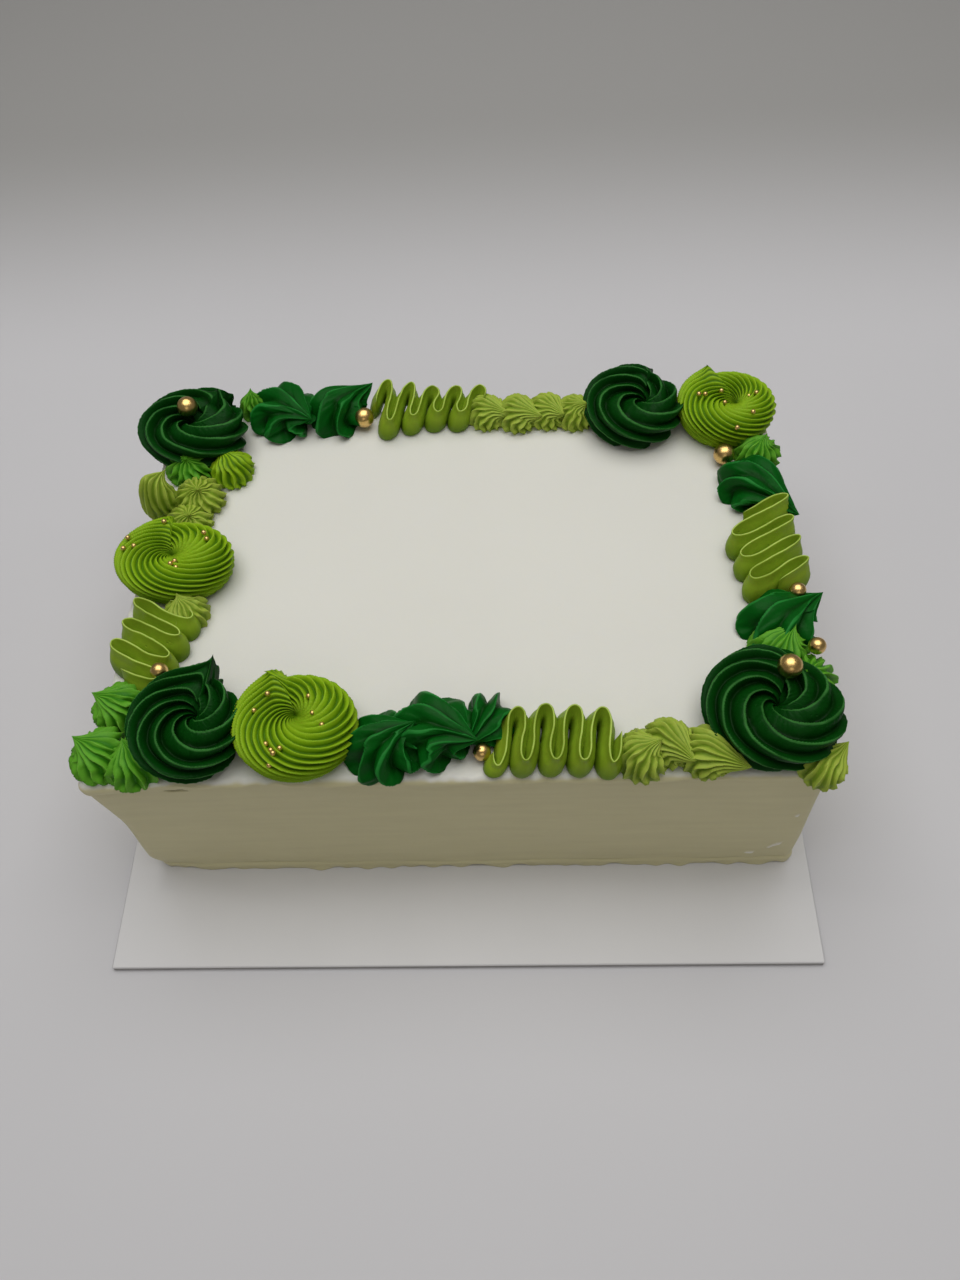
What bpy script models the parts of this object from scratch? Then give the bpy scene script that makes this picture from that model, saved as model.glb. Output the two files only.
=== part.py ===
# A rectangular sheet cake in white icing on its thin card board, with a border of
# buttercream rosettes, shells, drops and ruffles in six greens, and gold sugar pearls.
# Lengths below are millimetres, angles are degrees from +X, and +Y points to the back.
# The origin is the middle of the board's underside.

import math

import bmesh
import bpy
from mathutils import Matrix, Vector
from mathutils.bvhtree import BVHTree

MM = 0.001
GAP = 0.3

# Board and cake
BOARD_WIDTH = 305.0
BOARD_DEPTH = 305.0
BOARD_THICK = 3.0
BOARD_EDGE = 0.5
CAKE_WIDTH = 286.0
CAKE_DEPTH = 200.0
CAKE_HEIGHT = 83.2
CAKE_X = 1.8
CAKE_FRONT = -106.7
CAKE_CORNER = 4.0
CAKE_TOP_ROUND = 1.6
LIP_OUT = 1.0
LIP_CORNER_OUT = 3.0
FOOT_OUT = 0.8
FOOT_CORNER_IN = 5.0
CORNER_REACH = 30.0
LIP_TALL = 12.0
FOOT_TALL = 14.0

TOP = BOARD_THICK + GAP + CAKE_HEIGHT
PIPED_Z = TOP + GAP

# Pearls
BIG_PEARL = 9.6
SMALL_PEARL = 7.0
TINY_PEARL = 2.15
PEARL_CLEARANCE = 0.35
TINY_PEARL_UP = 0.25
ABOVE = 50.0

# How far a piece that was piped later pushes its neighbour back
PIPED_CLEARANCE = 0.45
BELOW = 0.6
MERGE = 0.03
GUIDE_ROUND = 1.015
GUIDE_RIDGES = 7
GUIDE_DEPTH = 0.6

# Rosettes: a rope goes once round clockwise, and its end is pulled to a tip over its start
UNDERCUT = 0.85
FIRST_ANGLE = 0.35
ROSETTE_RINGS = 9
ROPE_START = 0.82
ROPE_GROWS = 2.4
PIT_CALM = 1.1
TAIL_ANGLE = 0.6 * math.pi
TAIL_SPREAD = 1.9
TAIL_SHARP = 1.4
FOOT_MIDDLE = 0.15
SAME_PHASE = 1e-6
MARK_ROOM = 0.25
PIT_BOTTOM = 0.95

# Rows of a drop that stands up and of a shell that lies down, in shares of the radius:
# along the reach, up, tilt of the ring, radius. A piece between the two mixes them.
DROP_ROWS = ((0.00, 0.00, 0, 0.88), (0.00, 0.30, 0, 1.00), (0.05, 0.76, 6, 0.77), (0.14, 1.00, 15, 0.42),
             (0.27, 1.17, 24, 0.13))
SHELL_ROWS = ((0.00, 0.00, 0, 0.88), (0.00, 0.28, 8, 1.00), (0.58, 0.62, 52, 0.89), (1.40, 0.42, 80, 0.55),
              (2.35, 0.15, 92, 0.19))
DROP_REACH = 0.33
SHELL_REACH = 2.75
DROP_TOP = 1.26
TAIL_POINT = 0.35
TAIL_RISE = 0.14
SHELL_TOP = 1.32

# Ruffles: a wall folded to and fro, thick at its foot and thin at its lip
RUFFLE_STEPS = 8
RUFFLE_LEVELS = ((0.0, 1.35, 0.94), (0.3, 1.55, 0.98), (1.0, 0.5, 1.06))
FOLD_SQUARE = 0.86
FOLD_UNEVEN = 0.3
FOLD_PINCH = 0.55

# Colours as linear red, green and blue, with roughness and metallic value
FINISHES = {
    "white_icing": ((0.80, 0.79, 0.72), 0.55, 0.0),
    "dark_green_icing": ((0.006, 0.060, 0.012), 0.42, 0.0),
    "emerald_icing": ((0.006, 0.110, 0.022), 0.42, 0.0),
    "mid_green_icing": ((0.075, 0.270, 0.045), 0.48, 0.0),
    "lime_icing": ((0.210, 0.410, 0.020), 0.46, 0.0),
    "olive_icing": ((0.210, 0.330, 0.045), 0.46, 0.0),
    "pale_green_icing": ((0.350, 0.480, 0.100), 0.48, 0.0),
    "gold": ((0.640, 0.380, 0.130), 0.28, 1.0),
    "white_board": ((0.80, 0.80, 0.81), 0.60, 0.0),
}

# Pieces in the order in which they were piped: a later piece stays whole where two meet
PIECES = (
    dict(kind="ruffle", name="ruffle_back", finish="olive_icing", start=(-42.0, 86.5), end=(8.0, 86.0),
         folds=4.5, width=10.5, height=13.0, lean=2.5, first_wider=1.35),
    dict(kind="drop", name="drop_back", finish="mid_green_icing", x=-100.5, y=92.0, radius=7.0,
         height=12.0, reach=2.0, turn=90, ridges=8, depth=0.22),
    dict(kind="rosette", name="rosette_dark_back_left", finish="dark_green_icing", x=-125.5, y=76.4,
         across=25.6, deep=21.8, height=19.0, ridges=9, depth=3.2, tail=55, tip=(10.0, 15.0, 21.0),
         pit=(-4.0, 4.0)),
    dict(kind="shell", name="shell_emerald_back_left", finish="emerald_icing", x=-84.0, y=88.0, radius=13.0,
         height=17.0, reach=20.0, turn=-37, ridges=8, depth=0.30),
    dict(kind="shell", name="shell_emerald_back_right", finish="emerald_icing", x=-59.0, y=85.5, radius=13.0,
         height=17.0, reach=22.0, turn=40, ridges=8, depth=0.30),
    dict(kind="shell", name="shell_pale_back_1", finish="pale_green_icing", x=13.5, y=86.0, radius=9.0,
         height=13.0, reach=12.0, turn=-30, ridges=8, depth=0.16),
    dict(kind="shell", name="shell_pale_back_2", finish="pale_green_icing", x=28.2, y=84.5, radius=9.8,
         height=13.5, reach=13.0, turn=-31, ridges=8, depth=0.16),
    dict(kind="shell", name="shell_pale_back_3", finish="pale_green_icing", x=42.0, y=85.5, radius=9.2,
         height=13.5, reach=11.0, turn=-46, ridges=8, depth=0.16),
    dict(kind="drop", name="drop_pale_back", finish="pale_green_icing", x=56.0, y=84.0, radius=9.2,
         height=13.0, reach=5.0, turn=-30, ridges=8, depth=0.18),
    dict(kind="rosette", name="rosette_dark_back_right", finish="dark_green_icing", x=83.2, y=82.2,
         across=23.8, deep=22.5, height=18.0, ridges=9, depth=3.0, tail=64, tip=(5.0, 12.5, 19.5),
         pit=(4.9, 2.6)),
    dict(kind="rosette", name="rosette_lime_back_right", finish="lime_icing", x=125.3, y=80.1,
         across=22.4, deep=22.0, height=17.5, ridges=14, depth=1.2, tail=109, tip=(-6.8, 16.0, 18.5),
         pit=(5.0, 2.2),
         pearls=((-13.8, -0.3), (-11.1, -0.4), (-2.3, 3.7), (-1.2, -3.4), (9.8, 1.9), (12.5, 1.1), (9.5, -13.4),
                 (1.3, -20.0))),
    dict(kind="drop", name="drop_right_back", finish="mid_green_icing", x=137.5, y=55.5, radius=9.5,
         height=12.5, reach=3.0, turn=40, ridges=8, depth=0.20),
    dict(kind="ruffle", name="ruffle_right", finish="olive_icing", start=(131.0, 15.0), end=(135.5, -25.0),
         folds=3.5, width=12.5, height=13.0, lean=2.5, first_wider=1.1),
    dict(kind="shell", name="shell_emerald_right_back", finish="emerald_icing", x=130.5, y=36.0, radius=13.5,
         height=17.0, reach=28.0, turn=-47, ridges=8, depth=0.30),
    dict(kind="shell", name="shell_emerald_right_front", finish="emerald_icing", x=131.5, y=-39.0, radius=13.0,
         height=16.0, reach=22.0, turn=31, ridges=8, depth=0.28),
    dict(kind="drop", name="drop_right_front", finish="mid_green_icing", x=131.0, y=-51.0, radius=11.0,
         height=14.0, reach=8.0, turn=44, ridges=8, depth=0.20),
    dict(kind="drop", name="drop_right_corner", finish="mid_green_icing", x=142.3, y=-66.5, radius=9.9,
         height=15.0, reach=2.5, turn=-150, ridges=8, depth=0.22),
    dict(kind="shell", name="shell_pale_corner", finish="pale_green_icing", x=139.7, y=-106.5, radius=9.0,
         height=11.5, reach=14.0, turn=40, ridges=8, depth=0.18),
    dict(kind="rosette", name="rosette_dark_front_right", finish="dark_green_icing", x=124.0, y=-80.3,
         across=27.5, deep=25.0, height=20.0, ridges=10, depth=3.2, tail=67, tip=(4.5, 13.0, 20.5),
         pit=(1.1, 1.1)),
    dict(kind="shell", name="shell_pale_front_2", finish="pale_green_icing", x=82.6, y=-93.5, radius=10.2,
         height=13.5, reach=14.0, turn=-50, ridges=8, depth=0.16),
    dict(kind="shell", name="shell_pale_front_3", finish="pale_green_icing", x=96.5, y=-96.5, radius=10.8,
         height=14.2, reach=18.0, turn=-28, ridges=8, depth=0.16),
    dict(kind="ruffle", name="ruffle_front", finish="olive_icing", start=(12.0, -91.5), end=(67.0, -93.0),
         folds=5.0, width=11.0, height=13.5, lean=2.0, first_wider=1.0),
    dict(kind="drop", name="drop_pale_front_1", finish="pale_green_icing", x=72.3, y=-98.0, radius=10.6,
         height=14.0, reach=7.0, turn=15, ridges=8, depth=0.20),
    dict(kind="shell", name="shell_emerald_front_3", finish="emerald_icing", x=16.1, y=-81.5, radius=8.8,
         height=15.0, reach=16.0, turn=-122, ridges=7, depth=0.30),
    dict(kind="drop", name="drop_left_front_upper", finish="mid_green_icing", x=-133.0, y=-72.5, radius=10.5,
         height=13.0, reach=10.5, turn=165, ridges=8, depth=0.20),
    dict(kind="ruffle", name="ruffle_left", finish="olive_icing", start=(-121.0, -27.0), end=(-131.0, -63.0),
         folds=3.5, width=12.5, height=13.0, lean=2.0, first_wider=1.0),
    dict(kind="rosette", name="rosette_dark_front_left", finish="dark_green_icing", x=-102.5, y=-82.5,
         across=23.5, deep=22.4, height=19.5, ridges=9, depth=3.4, tail=65, tip=(9.5, 22.8, 24.0),
         pit=(3.6, 5.0)),
    dict(kind="rosette", name="rosette_lime_front", finish="lime_icing", x=-60.3, y=-83.6,
         across=24.6, deep=22.8, height=19.0, ridges=14, depth=1.4, tail=104, tip=(-8.5, 16.0, 20.5),
         pit=(-1.2, 4.2),
         pearls=((-9.9, 8.2), (-14.6, 1.6), (4.5, 9.2), (7.1, 2.1), (11.6, -4.5),
                 (-8.7, -12.2), (-6.5, -14.8), (-3.8, -14.8), (-5.8, -17.3), (-7.3, -20.5))),
    dict(kind="shell", name="shell_emerald_front_1", finish="emerald_icing", x=-27.9, y=-94.0, radius=13.6,
         height=17.0, reach=14.0, turn=32, ridges=8, depth=0.32),
    dict(kind="shell", name="shell_emerald_front_2", finish="emerald_icing", x=-9.0, y=-89.0, radius=13.8,
         height=17.0, reach=20.0, turn=-24, ridges=8, depth=0.30),
    dict(kind="drop", name="drop_left_front_corner", finish="mid_green_icing", x=-138.5, y=-94.5, radius=10.8,
         height=13.0, reach=10.5, turn=155, ridges=8, depth=0.20),
    dict(kind="drop", name="drop_left_front_lower", finish="mid_green_icing", x=-123.2, y=-97.0, radius=10.5,
         height=13.5, reach=6.0, turn=121, ridges=8, depth=0.20),
    dict(kind="drop", name="drop_left_back", finish="mid_green_icing", x=-126.0, y=57.0, radius=11.0,
         height=13.0, reach=3.0, turn=-80, ridges=8, depth=0.18),
    dict(kind="drop", name="drop_left_back_inner", finish="lime_icing", x=-106.0, y=54.4, radius=10.2,
         height=13.0, reach=8.0, turn=123, ridges=8, depth=0.18),
    dict(kind="drop", name="drop_pale_left_back_1", finish="pale_green_icing", x=-119.0, y=37.0, radius=11.8,
         height=13.5, reach=3.0, turn=-52, ridges=8, depth=0.20),
    dict(kind="drop", name="drop_pale_left_back_2", finish="pale_green_icing", x=-136.0, y=34.5, radius=8.0,
         height=20.0, reach=8.0, turn=74, ridges=8, depth=0.16),
    dict(kind="drop", name="drop_pale_left_back_3", finish="pale_green_icing", x=-121.5, y=24.0, radius=9.0,
         height=11.0, reach=3.0, turn=-49, ridges=8, depth=0.18),
    dict(kind="rosette", name="rosette_lime_left", finish="lime_icing", x=-121.4, y=-2.0,
         across=26.0, deep=20.8, height=17.5, ridges=14, depth=1.3, tail=98, tip=(-4.6, 15.0, 18.0),
         pit=(-3.0, 3.0),
         pearls=((-5.0, 14.0), (-20.2, 6.1), (-21.3, 0.7), (-16.2, 1.6), (13.3, 7.7), (13.7, 5.5),
                 (2.4, -5.4), (0.9, -7.0), (2.7, -9.7))),
    dict(kind="drop", name="drop_pale_left_front", finish="pale_green_icing", x=-114.5, y=-27.0, radius=9.8,
         height=13.0, reach=4.0, turn=120, ridges=8, depth=0.18),
)

# Large and small gold pearls: place of the middle and size
PEARLS = (
    dict(name="pearl_dark_back_left", x=-127.6, y=81.5, up=17.5, across=BIG_PEARL),
    dict(name="pearl_emerald_back", x=-45.5, y=82.9, up=5.6, across=BIG_PEARL),
    dict(name="pearl_right_back", x=121.9, y=53.6, up=4.9, across=BIG_PEARL),
    dict(name="pearl_emerald_right", x=141.5, y=-26.3, up=9.0, across=SMALL_PEARL),
    dict(name="pearl_right_corner", x=143.7, y=-55.4, up=12.5, across=SMALL_PEARL),
    dict(name="pearl_dark_front_right", x=129.7, y=-68.6, up=19.5, across=BIG_PEARL),
    dict(name="pearl_ruffle_front", x=11.7, y=-95.1, up=4.0, across=SMALL_PEARL),
    dict(name="pearl_ruffle_left", x=-117.5, y=-60.9, up=12.5, across=SMALL_PEARL),
)


def clear_scene():
    for item in list(bpy.data.objects):
        bpy.data.objects.remove(item, do_unlink=True)


def smooth(value):
    # 0 up to 0, 1 from 1, with a soft start and end
    value = min(1.0, max(0.0, value))
    return value * value * (3.0 - 2.0 * value)


def crest(phase):
    # 1 on a sharp ridge at phase 0, falling to 0 in the round valley at half a turn
    return 1.0 - abs(math.sin(phase / 2.0))


def mix(first, second, share):
    return tuple(one + (two - one) * share for one, two in zip(first, second))


def finish_material(finish):
    if finish in bpy.data.materials:
        return bpy.data.materials[finish]
    colour, roughness, metallic = FINISHES[finish]
    material = bpy.data.materials.new(finish)
    material.use_nodes = True
    shader = material.node_tree.nodes["Principled BSDF"]
    shader.inputs["Base Color"].default_value = (*colour, 1.0)
    shader.inputs["Roughness"].default_value = roughness
    shader.inputs["Metallic"].default_value = metallic
    return material


def add_object(name, finish, points, faces, place=(0.0, 0.0, 0.0)):
    # Points are millimetres from the place, which becomes the object's location
    mesh = bpy.data.meshes.new(name)
    mesh.from_pydata([tuple(value * MM for value in point) for point in points], [], faces)
    shell = bmesh.new()
    shell.from_mesh(mesh)
    bmesh.ops.recalc_face_normals(shell, faces=shell.faces[:])
    shell.to_mesh(mesh)
    shell.free()
    item = bpy.data.objects.new(name, mesh)
    item.location = tuple(value * MM for value in place)
    item.data.materials.append(finish_material(finish))
    bpy.context.scene.collection.objects.link(item)
    item.data.shade_smooth()
    item.data.set_sharp_from_angle(angle=math.radians(40.0))
    return item


def stack_of_rings(rings, top=None):
    # One closed skin over rings of equal length, from the flat bottom ring up to a point or a flat top
    count = len(rings[0])
    points = [point for ring in rings for point in ring]
    faces = [tuple(reversed(range(count)))]
    for row in range(len(rings) - 1):
        for step in range(count):
            after = (step + 1) % count
            faces.append((row * count + step, row * count + after,
                          (row + 1) * count + after, (row + 1) * count + step))
    last = (len(rings) - 1) * count
    if top is None:
        faces.append(tuple(range(last, last + count)))
        return points, faces
    points.append(top)
    for step in range(count):
        faces.append((last + step, last + (step + 1) % count, len(points) - 1))
    return points, faces


def piped_rows(piece):
    lying = (piece["reach"] / piece["radius"] - DROP_REACH) / (SHELL_REACH - DROP_REACH)
    lying = min(1.0, max(0.0, lying))
    return [mix(drop, shell, lying) for drop, shell in zip(DROP_ROWS, SHELL_ROWS)], lying


def drop_shape(piece, grow):
    # Star-shaped rings on a bending spine. The ridges run up from the foot and meet at the tail.
    rows, lying = piped_rows(piece)
    radius = piece["radius"] + grow
    tall = (piece["height"] + grow) / ((DROP_TOP + (SHELL_TOP - DROP_TOP) * lying) * radius)
    turn = math.radians(piece["turn"])
    count = 2 * piece["ridges"]
    rings = []
    for along, up, tilt, share in rows:
        tilt = math.radians(tilt)
        ring = []
        for step in range(count):
            angle = math.tau * step / count
            ridge = piece["depth"] * (1.0 - crest(piece["ridges"] * angle))
            out = radius * share * (1.0 - ridge)
            forward = along * radius + out * math.cos(angle) * math.cos(tilt)
            side = out * math.sin(angle)
            height = (up * radius - out * math.cos(angle) * math.sin(tilt)) * tall
            ring.append((forward * math.cos(turn) - side * math.sin(turn),
                         forward * math.sin(turn) + side * math.cos(turn), max(0.0, height)))
        rings.append(ring)
    tilt = math.radians(rows[-1][2])
    ahead = radius * (rows[-1][0] + TAIL_POINT * math.sin(tilt))
    height = max(0.01, rows[-1][1] + TAIL_RISE * math.cos(tilt)) * radius * tall
    top = (ahead * math.cos(turn), ahead * math.sin(turn), height)
    if grow:
        rings[0] = [(point[0], point[1], -BELOW) for point in rings[0]]
    return stack_of_rings(rings, top)


def rope_point(piece, grow, turned, angle):
    # turned is how far the rope has gone round, angle runs over it from the pit to the foot
    across = piece["across"] + grow
    deep = piece["deep"] + grow
    tall = (piece["height"] + grow) / (1.0 + math.sin(UNDERCUT))
    size = ROPE_START + (1.0 - ROPE_START) * smooth(turned / ROPE_GROWS)
    fade = min(1.0, angle / PIT_CALM)
    ridge = piece["depth"] * fade * (1.0 - crest(piece["ridges"] * (turned + angle)))
    out = 0.5 * size - (0.5 * size - ridge / across) * math.cos(angle)
    up = tall * math.sin(UNDERCUT) + (tall * size - ridge) * math.sin(angle)
    around = math.radians(piece["tail"]) - turned
    inner = max(0.0, 1.0 - out) ** 2
    return Vector((piece["pit"][0] * inner + across * out * math.cos(around),
                   piece["pit"][1] * inner + deep * out * math.sin(around), max(0.0, up)))


def rosette_point(piece, grow, turned, angle):
    # The skin round the rope's end is drawn out to the tip
    point = rope_point(piece, grow, turned, angle)
    root = rope_point(piece, grow, math.tau, TAIL_ANGLE)
    tip = Vector(piece["tip"])
    draw = tip + grow * Vector((tip.x, tip.y, tip.length)).normalized() - root
    near = max(0.0, 1.0 - (point - root).length / (TAIL_SPREAD * draw.length))
    return point + draw * near ** TAIL_SHARP


def rosette_shape(piece, grow):
    half_ridge = math.pi / piece["ridges"]
    last_angle = math.pi + UNDERCUT
    tall = (piece["height"] + grow) / (1.0 + math.sin(UNDERCUT))
    points = [(*piece["pit"], PIT_BOTTOM * tall * math.sin(UNDERCUT))]
    faces = []
    rows = []
    for ring in range(ROSETTE_RINGS):
        angle = FIRST_ANGLE + (last_angle - FIRST_ANGLE) * ring / (ROSETTE_RINGS - 1)
        first = math.floor(angle / half_ridge + MARK_ROOM) + 1
        final = math.ceil((angle + math.tau) / half_ridge - MARK_ROOM)
        turns = [0.0] + [mark * half_ridge - angle for mark in range(first, final)] + [math.tau]
        row = []
        for turned in turns:
            point = rosette_point(piece, grow, turned, angle)
            if ring == ROSETTE_RINGS - 1:
                point.z = -BELOW if grow else 0.0
            row.append((turned + angle, len(points)))
            points.append(tuple(point))
        rows.append(row)
    top = rows[0]
    for spot in range(len(top)):
        faces.append((0, top[spot][1], top[(spot + 1) % len(top)][1]))
    for upper, lower in zip(rows, rows[1:]):
        faces.extend(zip_rows(upper, lower))
        faces.append((upper[-1][1], lower[-1][1], lower[0][1], upper[0][1]))
    # The middle of the flat foot stands off the line of the step, so that no face is flat to it
    foot = [entry[1] for entry in rows[-1]]
    around = math.radians(piece["tail"] + 90.0)
    off = FOOT_MIDDLE * piece["across"]
    points.append((off * math.cos(around), off * math.sin(around), -BELOW if grow else 0.0))
    for spot in range(len(foot)):
        faces.append((len(points) - 1, foot[(spot + 1) % len(foot)], foot[spot]))
    return points, faces


def zip_rows(upper, lower):
    # Triangles between two rows of (phase, point), so that their edges follow the ridges
    faces = []
    high = 0
    low = 0
    while high < len(upper) - 1 or low < len(lower) - 1:
        move_high = low == len(lower) - 1
        if high < len(upper) - 1 and low < len(lower) - 1:
            move_high = upper[high + 1][0] < lower[low + 1][0] + SAME_PHASE
        if move_high:
            faces.append((upper[high][1], lower[low][1], upper[high + 1][1]))
            high += 1
        else:
            faces.append((upper[high][1], lower[low][1], lower[low + 1][1]))
            low += 1
    return faces


def ruffle_shape(piece, grow):
    # A wall on a line that swings from side to side, with wide loops on its outer side
    start = Vector((*piece["start"], 0.0))
    line = Vector((*piece["end"], 0.0)) - start
    along = line.normalized()
    across = Vector((-along.y, along.x, 0.0))
    pitch = line.length / piece["folds"]
    count = round(piece["folds"] * RUFFLE_STEPS)
    centre = []
    for step in range(count + 1):
        phase = math.tau * step / RUFFLE_STEPS
        wider = 1.0 + (piece["first_wider"] - 1.0) * max(0.0, 1.0 - phase / math.tau)
        run = pitch / math.tau * (phase - FOLD_SQUARE / 2.0 * math.sin(2.0 * phase)
                                  + FOLD_UNEVEN * (math.cos(phase) - 1.0))
        centre.append((run, piece["width"] * wider * math.sin(phase), math.sin(phase)))
    points = []
    for step, (run, swing, side) in enumerate(centre):
        before = centre[max(0, step - 1)]
        after = centre[min(count, step + 1)]
        ahead = Vector((after[0] - before[0], after[1] - before[1])).normalized()
        bend = abs(side) ** 3
        ring = []
        for level, half, spread in RUFFLE_LEVELS:
            half = half + grow / 2.0
            inner = half * (1.0 - FOLD_PINCH * bend)
            left = inner if side < 0.0 else half
            right = half if side < 0.0 else inner
            rise = level * (piece["height"] + (grow / 2.0 if level else 0.0))
            if grow and not level:
                rise = -BELOW
            lean = piece["lean"] * level
            for width, spot in ((left, 0), (-right, 1)):
                shift = run + lean - ahead.y * width
                swung = swing * spread + ahead.x * width
                place = along * shift + across * swung
                ring.append((spot, (place.x, place.y, rise)))
        order = [entry[1] for entry in ring if entry[0] == 0]
        order += [entry[1] for entry in reversed(ring) if entry[0] == 1]
        points.extend(order)
    size = 2 * len(RUFFLE_LEVELS)
    faces = [tuple(range(size)), tuple(reversed(range(count * size, (count + 1) * size)))]
    for step in range(count):
        for spot in range(size):
            after = (spot + 1) % size
            faces.append((step * size + spot, step * size + after,
                          (step + 1) * size + after, (step + 1) * size + spot))
    return points, faces


def add_piped(piece, grow=0.0):
    kind = piece["kind"]
    name = piece["name"]
    if grow:
        # The guide that cuts a neighbour is a little larger, with calmer ridges
        name = "guide"
        if kind in ("drop", "shell"):
            piece = dict(piece, ridges=GUIDE_RIDGES, depth=0.0, radius=GUIDE_ROUND * piece["radius"],
                         reach=GUIDE_ROUND * piece["reach"])
        if kind == "rosette":
            piece = dict(piece, depth=GUIDE_DEPTH * piece["depth"], across=GUIDE_ROUND * piece["across"],
                         deep=GUIDE_ROUND * piece["deep"])
    place = (*piece["start"], PIPED_Z) if kind == "ruffle" else (piece["x"], piece["y"], PIPED_Z)
    if kind == "rosette":
        points, faces = rosette_shape(piece, grow)
    elif kind == "ruffle":
        points, faces = ruffle_shape(piece, grow)
    else:
        points, faces = drop_shape(piece, grow)
    return add_object(name, piece["finish"], points, faces, place)


def add_ball(name, middle, across, splits):
    ball = bmesh.new()
    bmesh.ops.create_icosphere(ball, subdivisions=splits, radius=across / 2.0 * MM)
    mesh = bpy.data.meshes.new(name)
    ball.to_mesh(mesh)
    ball.free()
    item = bpy.data.objects.new(name, mesh)
    item.location = tuple(value * MM for value in middle)
    item.data.materials.append(finish_material("gold"))
    item.data.shade_smooth()
    bpy.context.scene.collection.objects.link(item)
    return item


def applied_boolean(item, operation, cutter=None, group=None, solver="EXACT"):
    change = item.modifiers.new("join", "BOOLEAN")
    change.operation = operation
    change.solver = solver
    if group:
        change.operand_type = "COLLECTION"
        change.collection = group
    else:
        change.object = cutter
    bpy.context.view_layer.update()
    seen = item.evaluated_get(bpy.context.evaluated_depsgraph_get())
    mesh = bpy.data.meshes.new_from_object(seen)
    item.modifiers.remove(change)
    item.data = mesh


def is_closed(body):
    single = len({frozenset(face.verts) for face in body.faces}) == len(body.faces)
    return single and all(part.is_manifold for part in (*body.edges, *body.verts))


def keep_largest_body(item):
    # Drops the loose scraps that a cut can leave, and joins corners that lie on each other
    body = bmesh.new()
    body.from_mesh(item.data)
    left = set(body.faces)
    groups = []
    while left:
        seed = left.pop()
        group = {seed}
        queue = [seed]
        while queue:
            for edge in queue.pop().edges:
                for face in edge.link_faces:
                    if face not in group:
                        group.add(face)
                        queue.append(face)
        left -= group
        groups.append(group)
    groups.sort(key=len, reverse=True)
    scraps = [face for group in groups[1:] for face in group]
    bmesh.ops.delete(body, geom=scraps, context="FACES")
    joined = body.copy()
    bmesh.ops.remove_doubles(joined, verts=joined.verts[:], dist=MERGE * MM)
    best = joined if is_closed(joined) else body
    closed = is_closed(best)
    best.to_mesh(item.data)
    joined.free()
    body.free()
    return closed


def bounds(item):
    corners = [item.matrix_world @ vert.co for vert in item.data.vertices]
    return [(min(corner[axis] for corner in corners), max(corner[axis] for corner in corners))
            for axis in range(3)]


def boxes_meet(first, second):
    return all(one[0] < two[1] and two[0] < one[1] for one, two in zip(first, second))


def cut_by(item, cutter):
    bpy.context.view_layer.update()
    if not boxes_meet(bounds(item), bounds(cutter)):
        return
    whole = item.data
    for solver in ("EXACT", "MANIFOLD"):
        item.data = whole
        applied_boolean(item, "DIFFERENCE", cutter=cutter, solver=solver)
        if keep_largest_body(item):
            return


def add_tiny_pearls(item, piece):
    # Tiny pearls sunk a little into the rosette and joined to it
    skin = bmesh.new()
    skin.from_mesh(item.data)
    tree = BVHTree.FromBMesh(skin)
    group = bpy.data.collections.new("tiny_pearls")
    for x, y in piece["pearls"]:
        hit = tree.ray_cast(Vector((x * MM, y * MM, ABOVE * MM)), Vector((0.0, 0.0, -1.0)))[0]
        middle = (piece["x"] + x, piece["y"] + y, PIPED_Z + hit.z / MM + TINY_PEARL_UP * TINY_PEARL)
        ball = add_ball("tiny_pearl", middle, TINY_PEARL, 1)
        bpy.context.scene.collection.objects.unlink(ball)
        group.objects.link(ball)
    skin.free()
    bpy.context.scene.collection.children.link(group)
    applied_boolean(item, "UNION", group=group)
    for ball in list(group.objects):
        bpy.data.objects.remove(ball, do_unlink=True)
    bpy.data.collections.remove(group)
    keep_largest_body(item)


def add_board():
    board = bmesh.new()
    size = Matrix.Diagonal((BOARD_WIDTH, BOARD_DEPTH, BOARD_THICK, 1.0))
    bmesh.ops.create_cube(board, size=1.0, matrix=size)
    bmesh.ops.bevel(board, geom=board.edges[:], offset=BOARD_EDGE, segments=1, affect="EDGES")
    board.verts.index_update()
    points = [tuple(vert.co) for vert in board.verts]
    faces = [tuple(vert.index for vert in face.verts) for face in board.faces]
    board.free()
    add_object("board", "white_board", points, faces, (0.0, 0.0, BOARD_THICK / 2.0))


def cake_outline(grow, corner, height):
    # A rectangle with round corners. The icing's lip and foot stand out furthest at the front left.
    half_width = CAKE_WIDTH / 2.0 + grow
    half_depth = CAKE_DEPTH / 2.0 + grow
    ring = []
    for side, (sign_x, sign_y) in enumerate(((1, -1), (1, 1), (-1, 1), (-1, -1))):
        middle = (sign_x * (half_width - corner), sign_y * (half_depth - corner))
        for step in range(4):
            angle = math.radians(-90.0 + 90.0 * side + 30.0 * step)
            ring.append((middle[0] + corner * math.cos(angle), middle[1] + corner * math.sin(angle), height))
        after = ((1, 1), (-1, 1), (-1, -1), (1, -1))[side]
        ahead = (after[0] * (half_width - corner), after[1] * (half_depth - corner))
        angle = math.radians(90.0 * side)
        for share in (0.12, 0.88):
            ring.append((middle[0] + (ahead[0] - middle[0]) * share + corner * math.cos(angle),
                         middle[1] + (ahead[1] - middle[1]) * share + corner * math.sin(angle), height))
    return ring


def near_front_left(point):
    far = math.hypot(point[0] + CAKE_WIDTH / 2.0, point[1] + CAKE_DEPTH / 2.0)
    return smooth(1.0 - far / CORNER_REACH)


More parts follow.
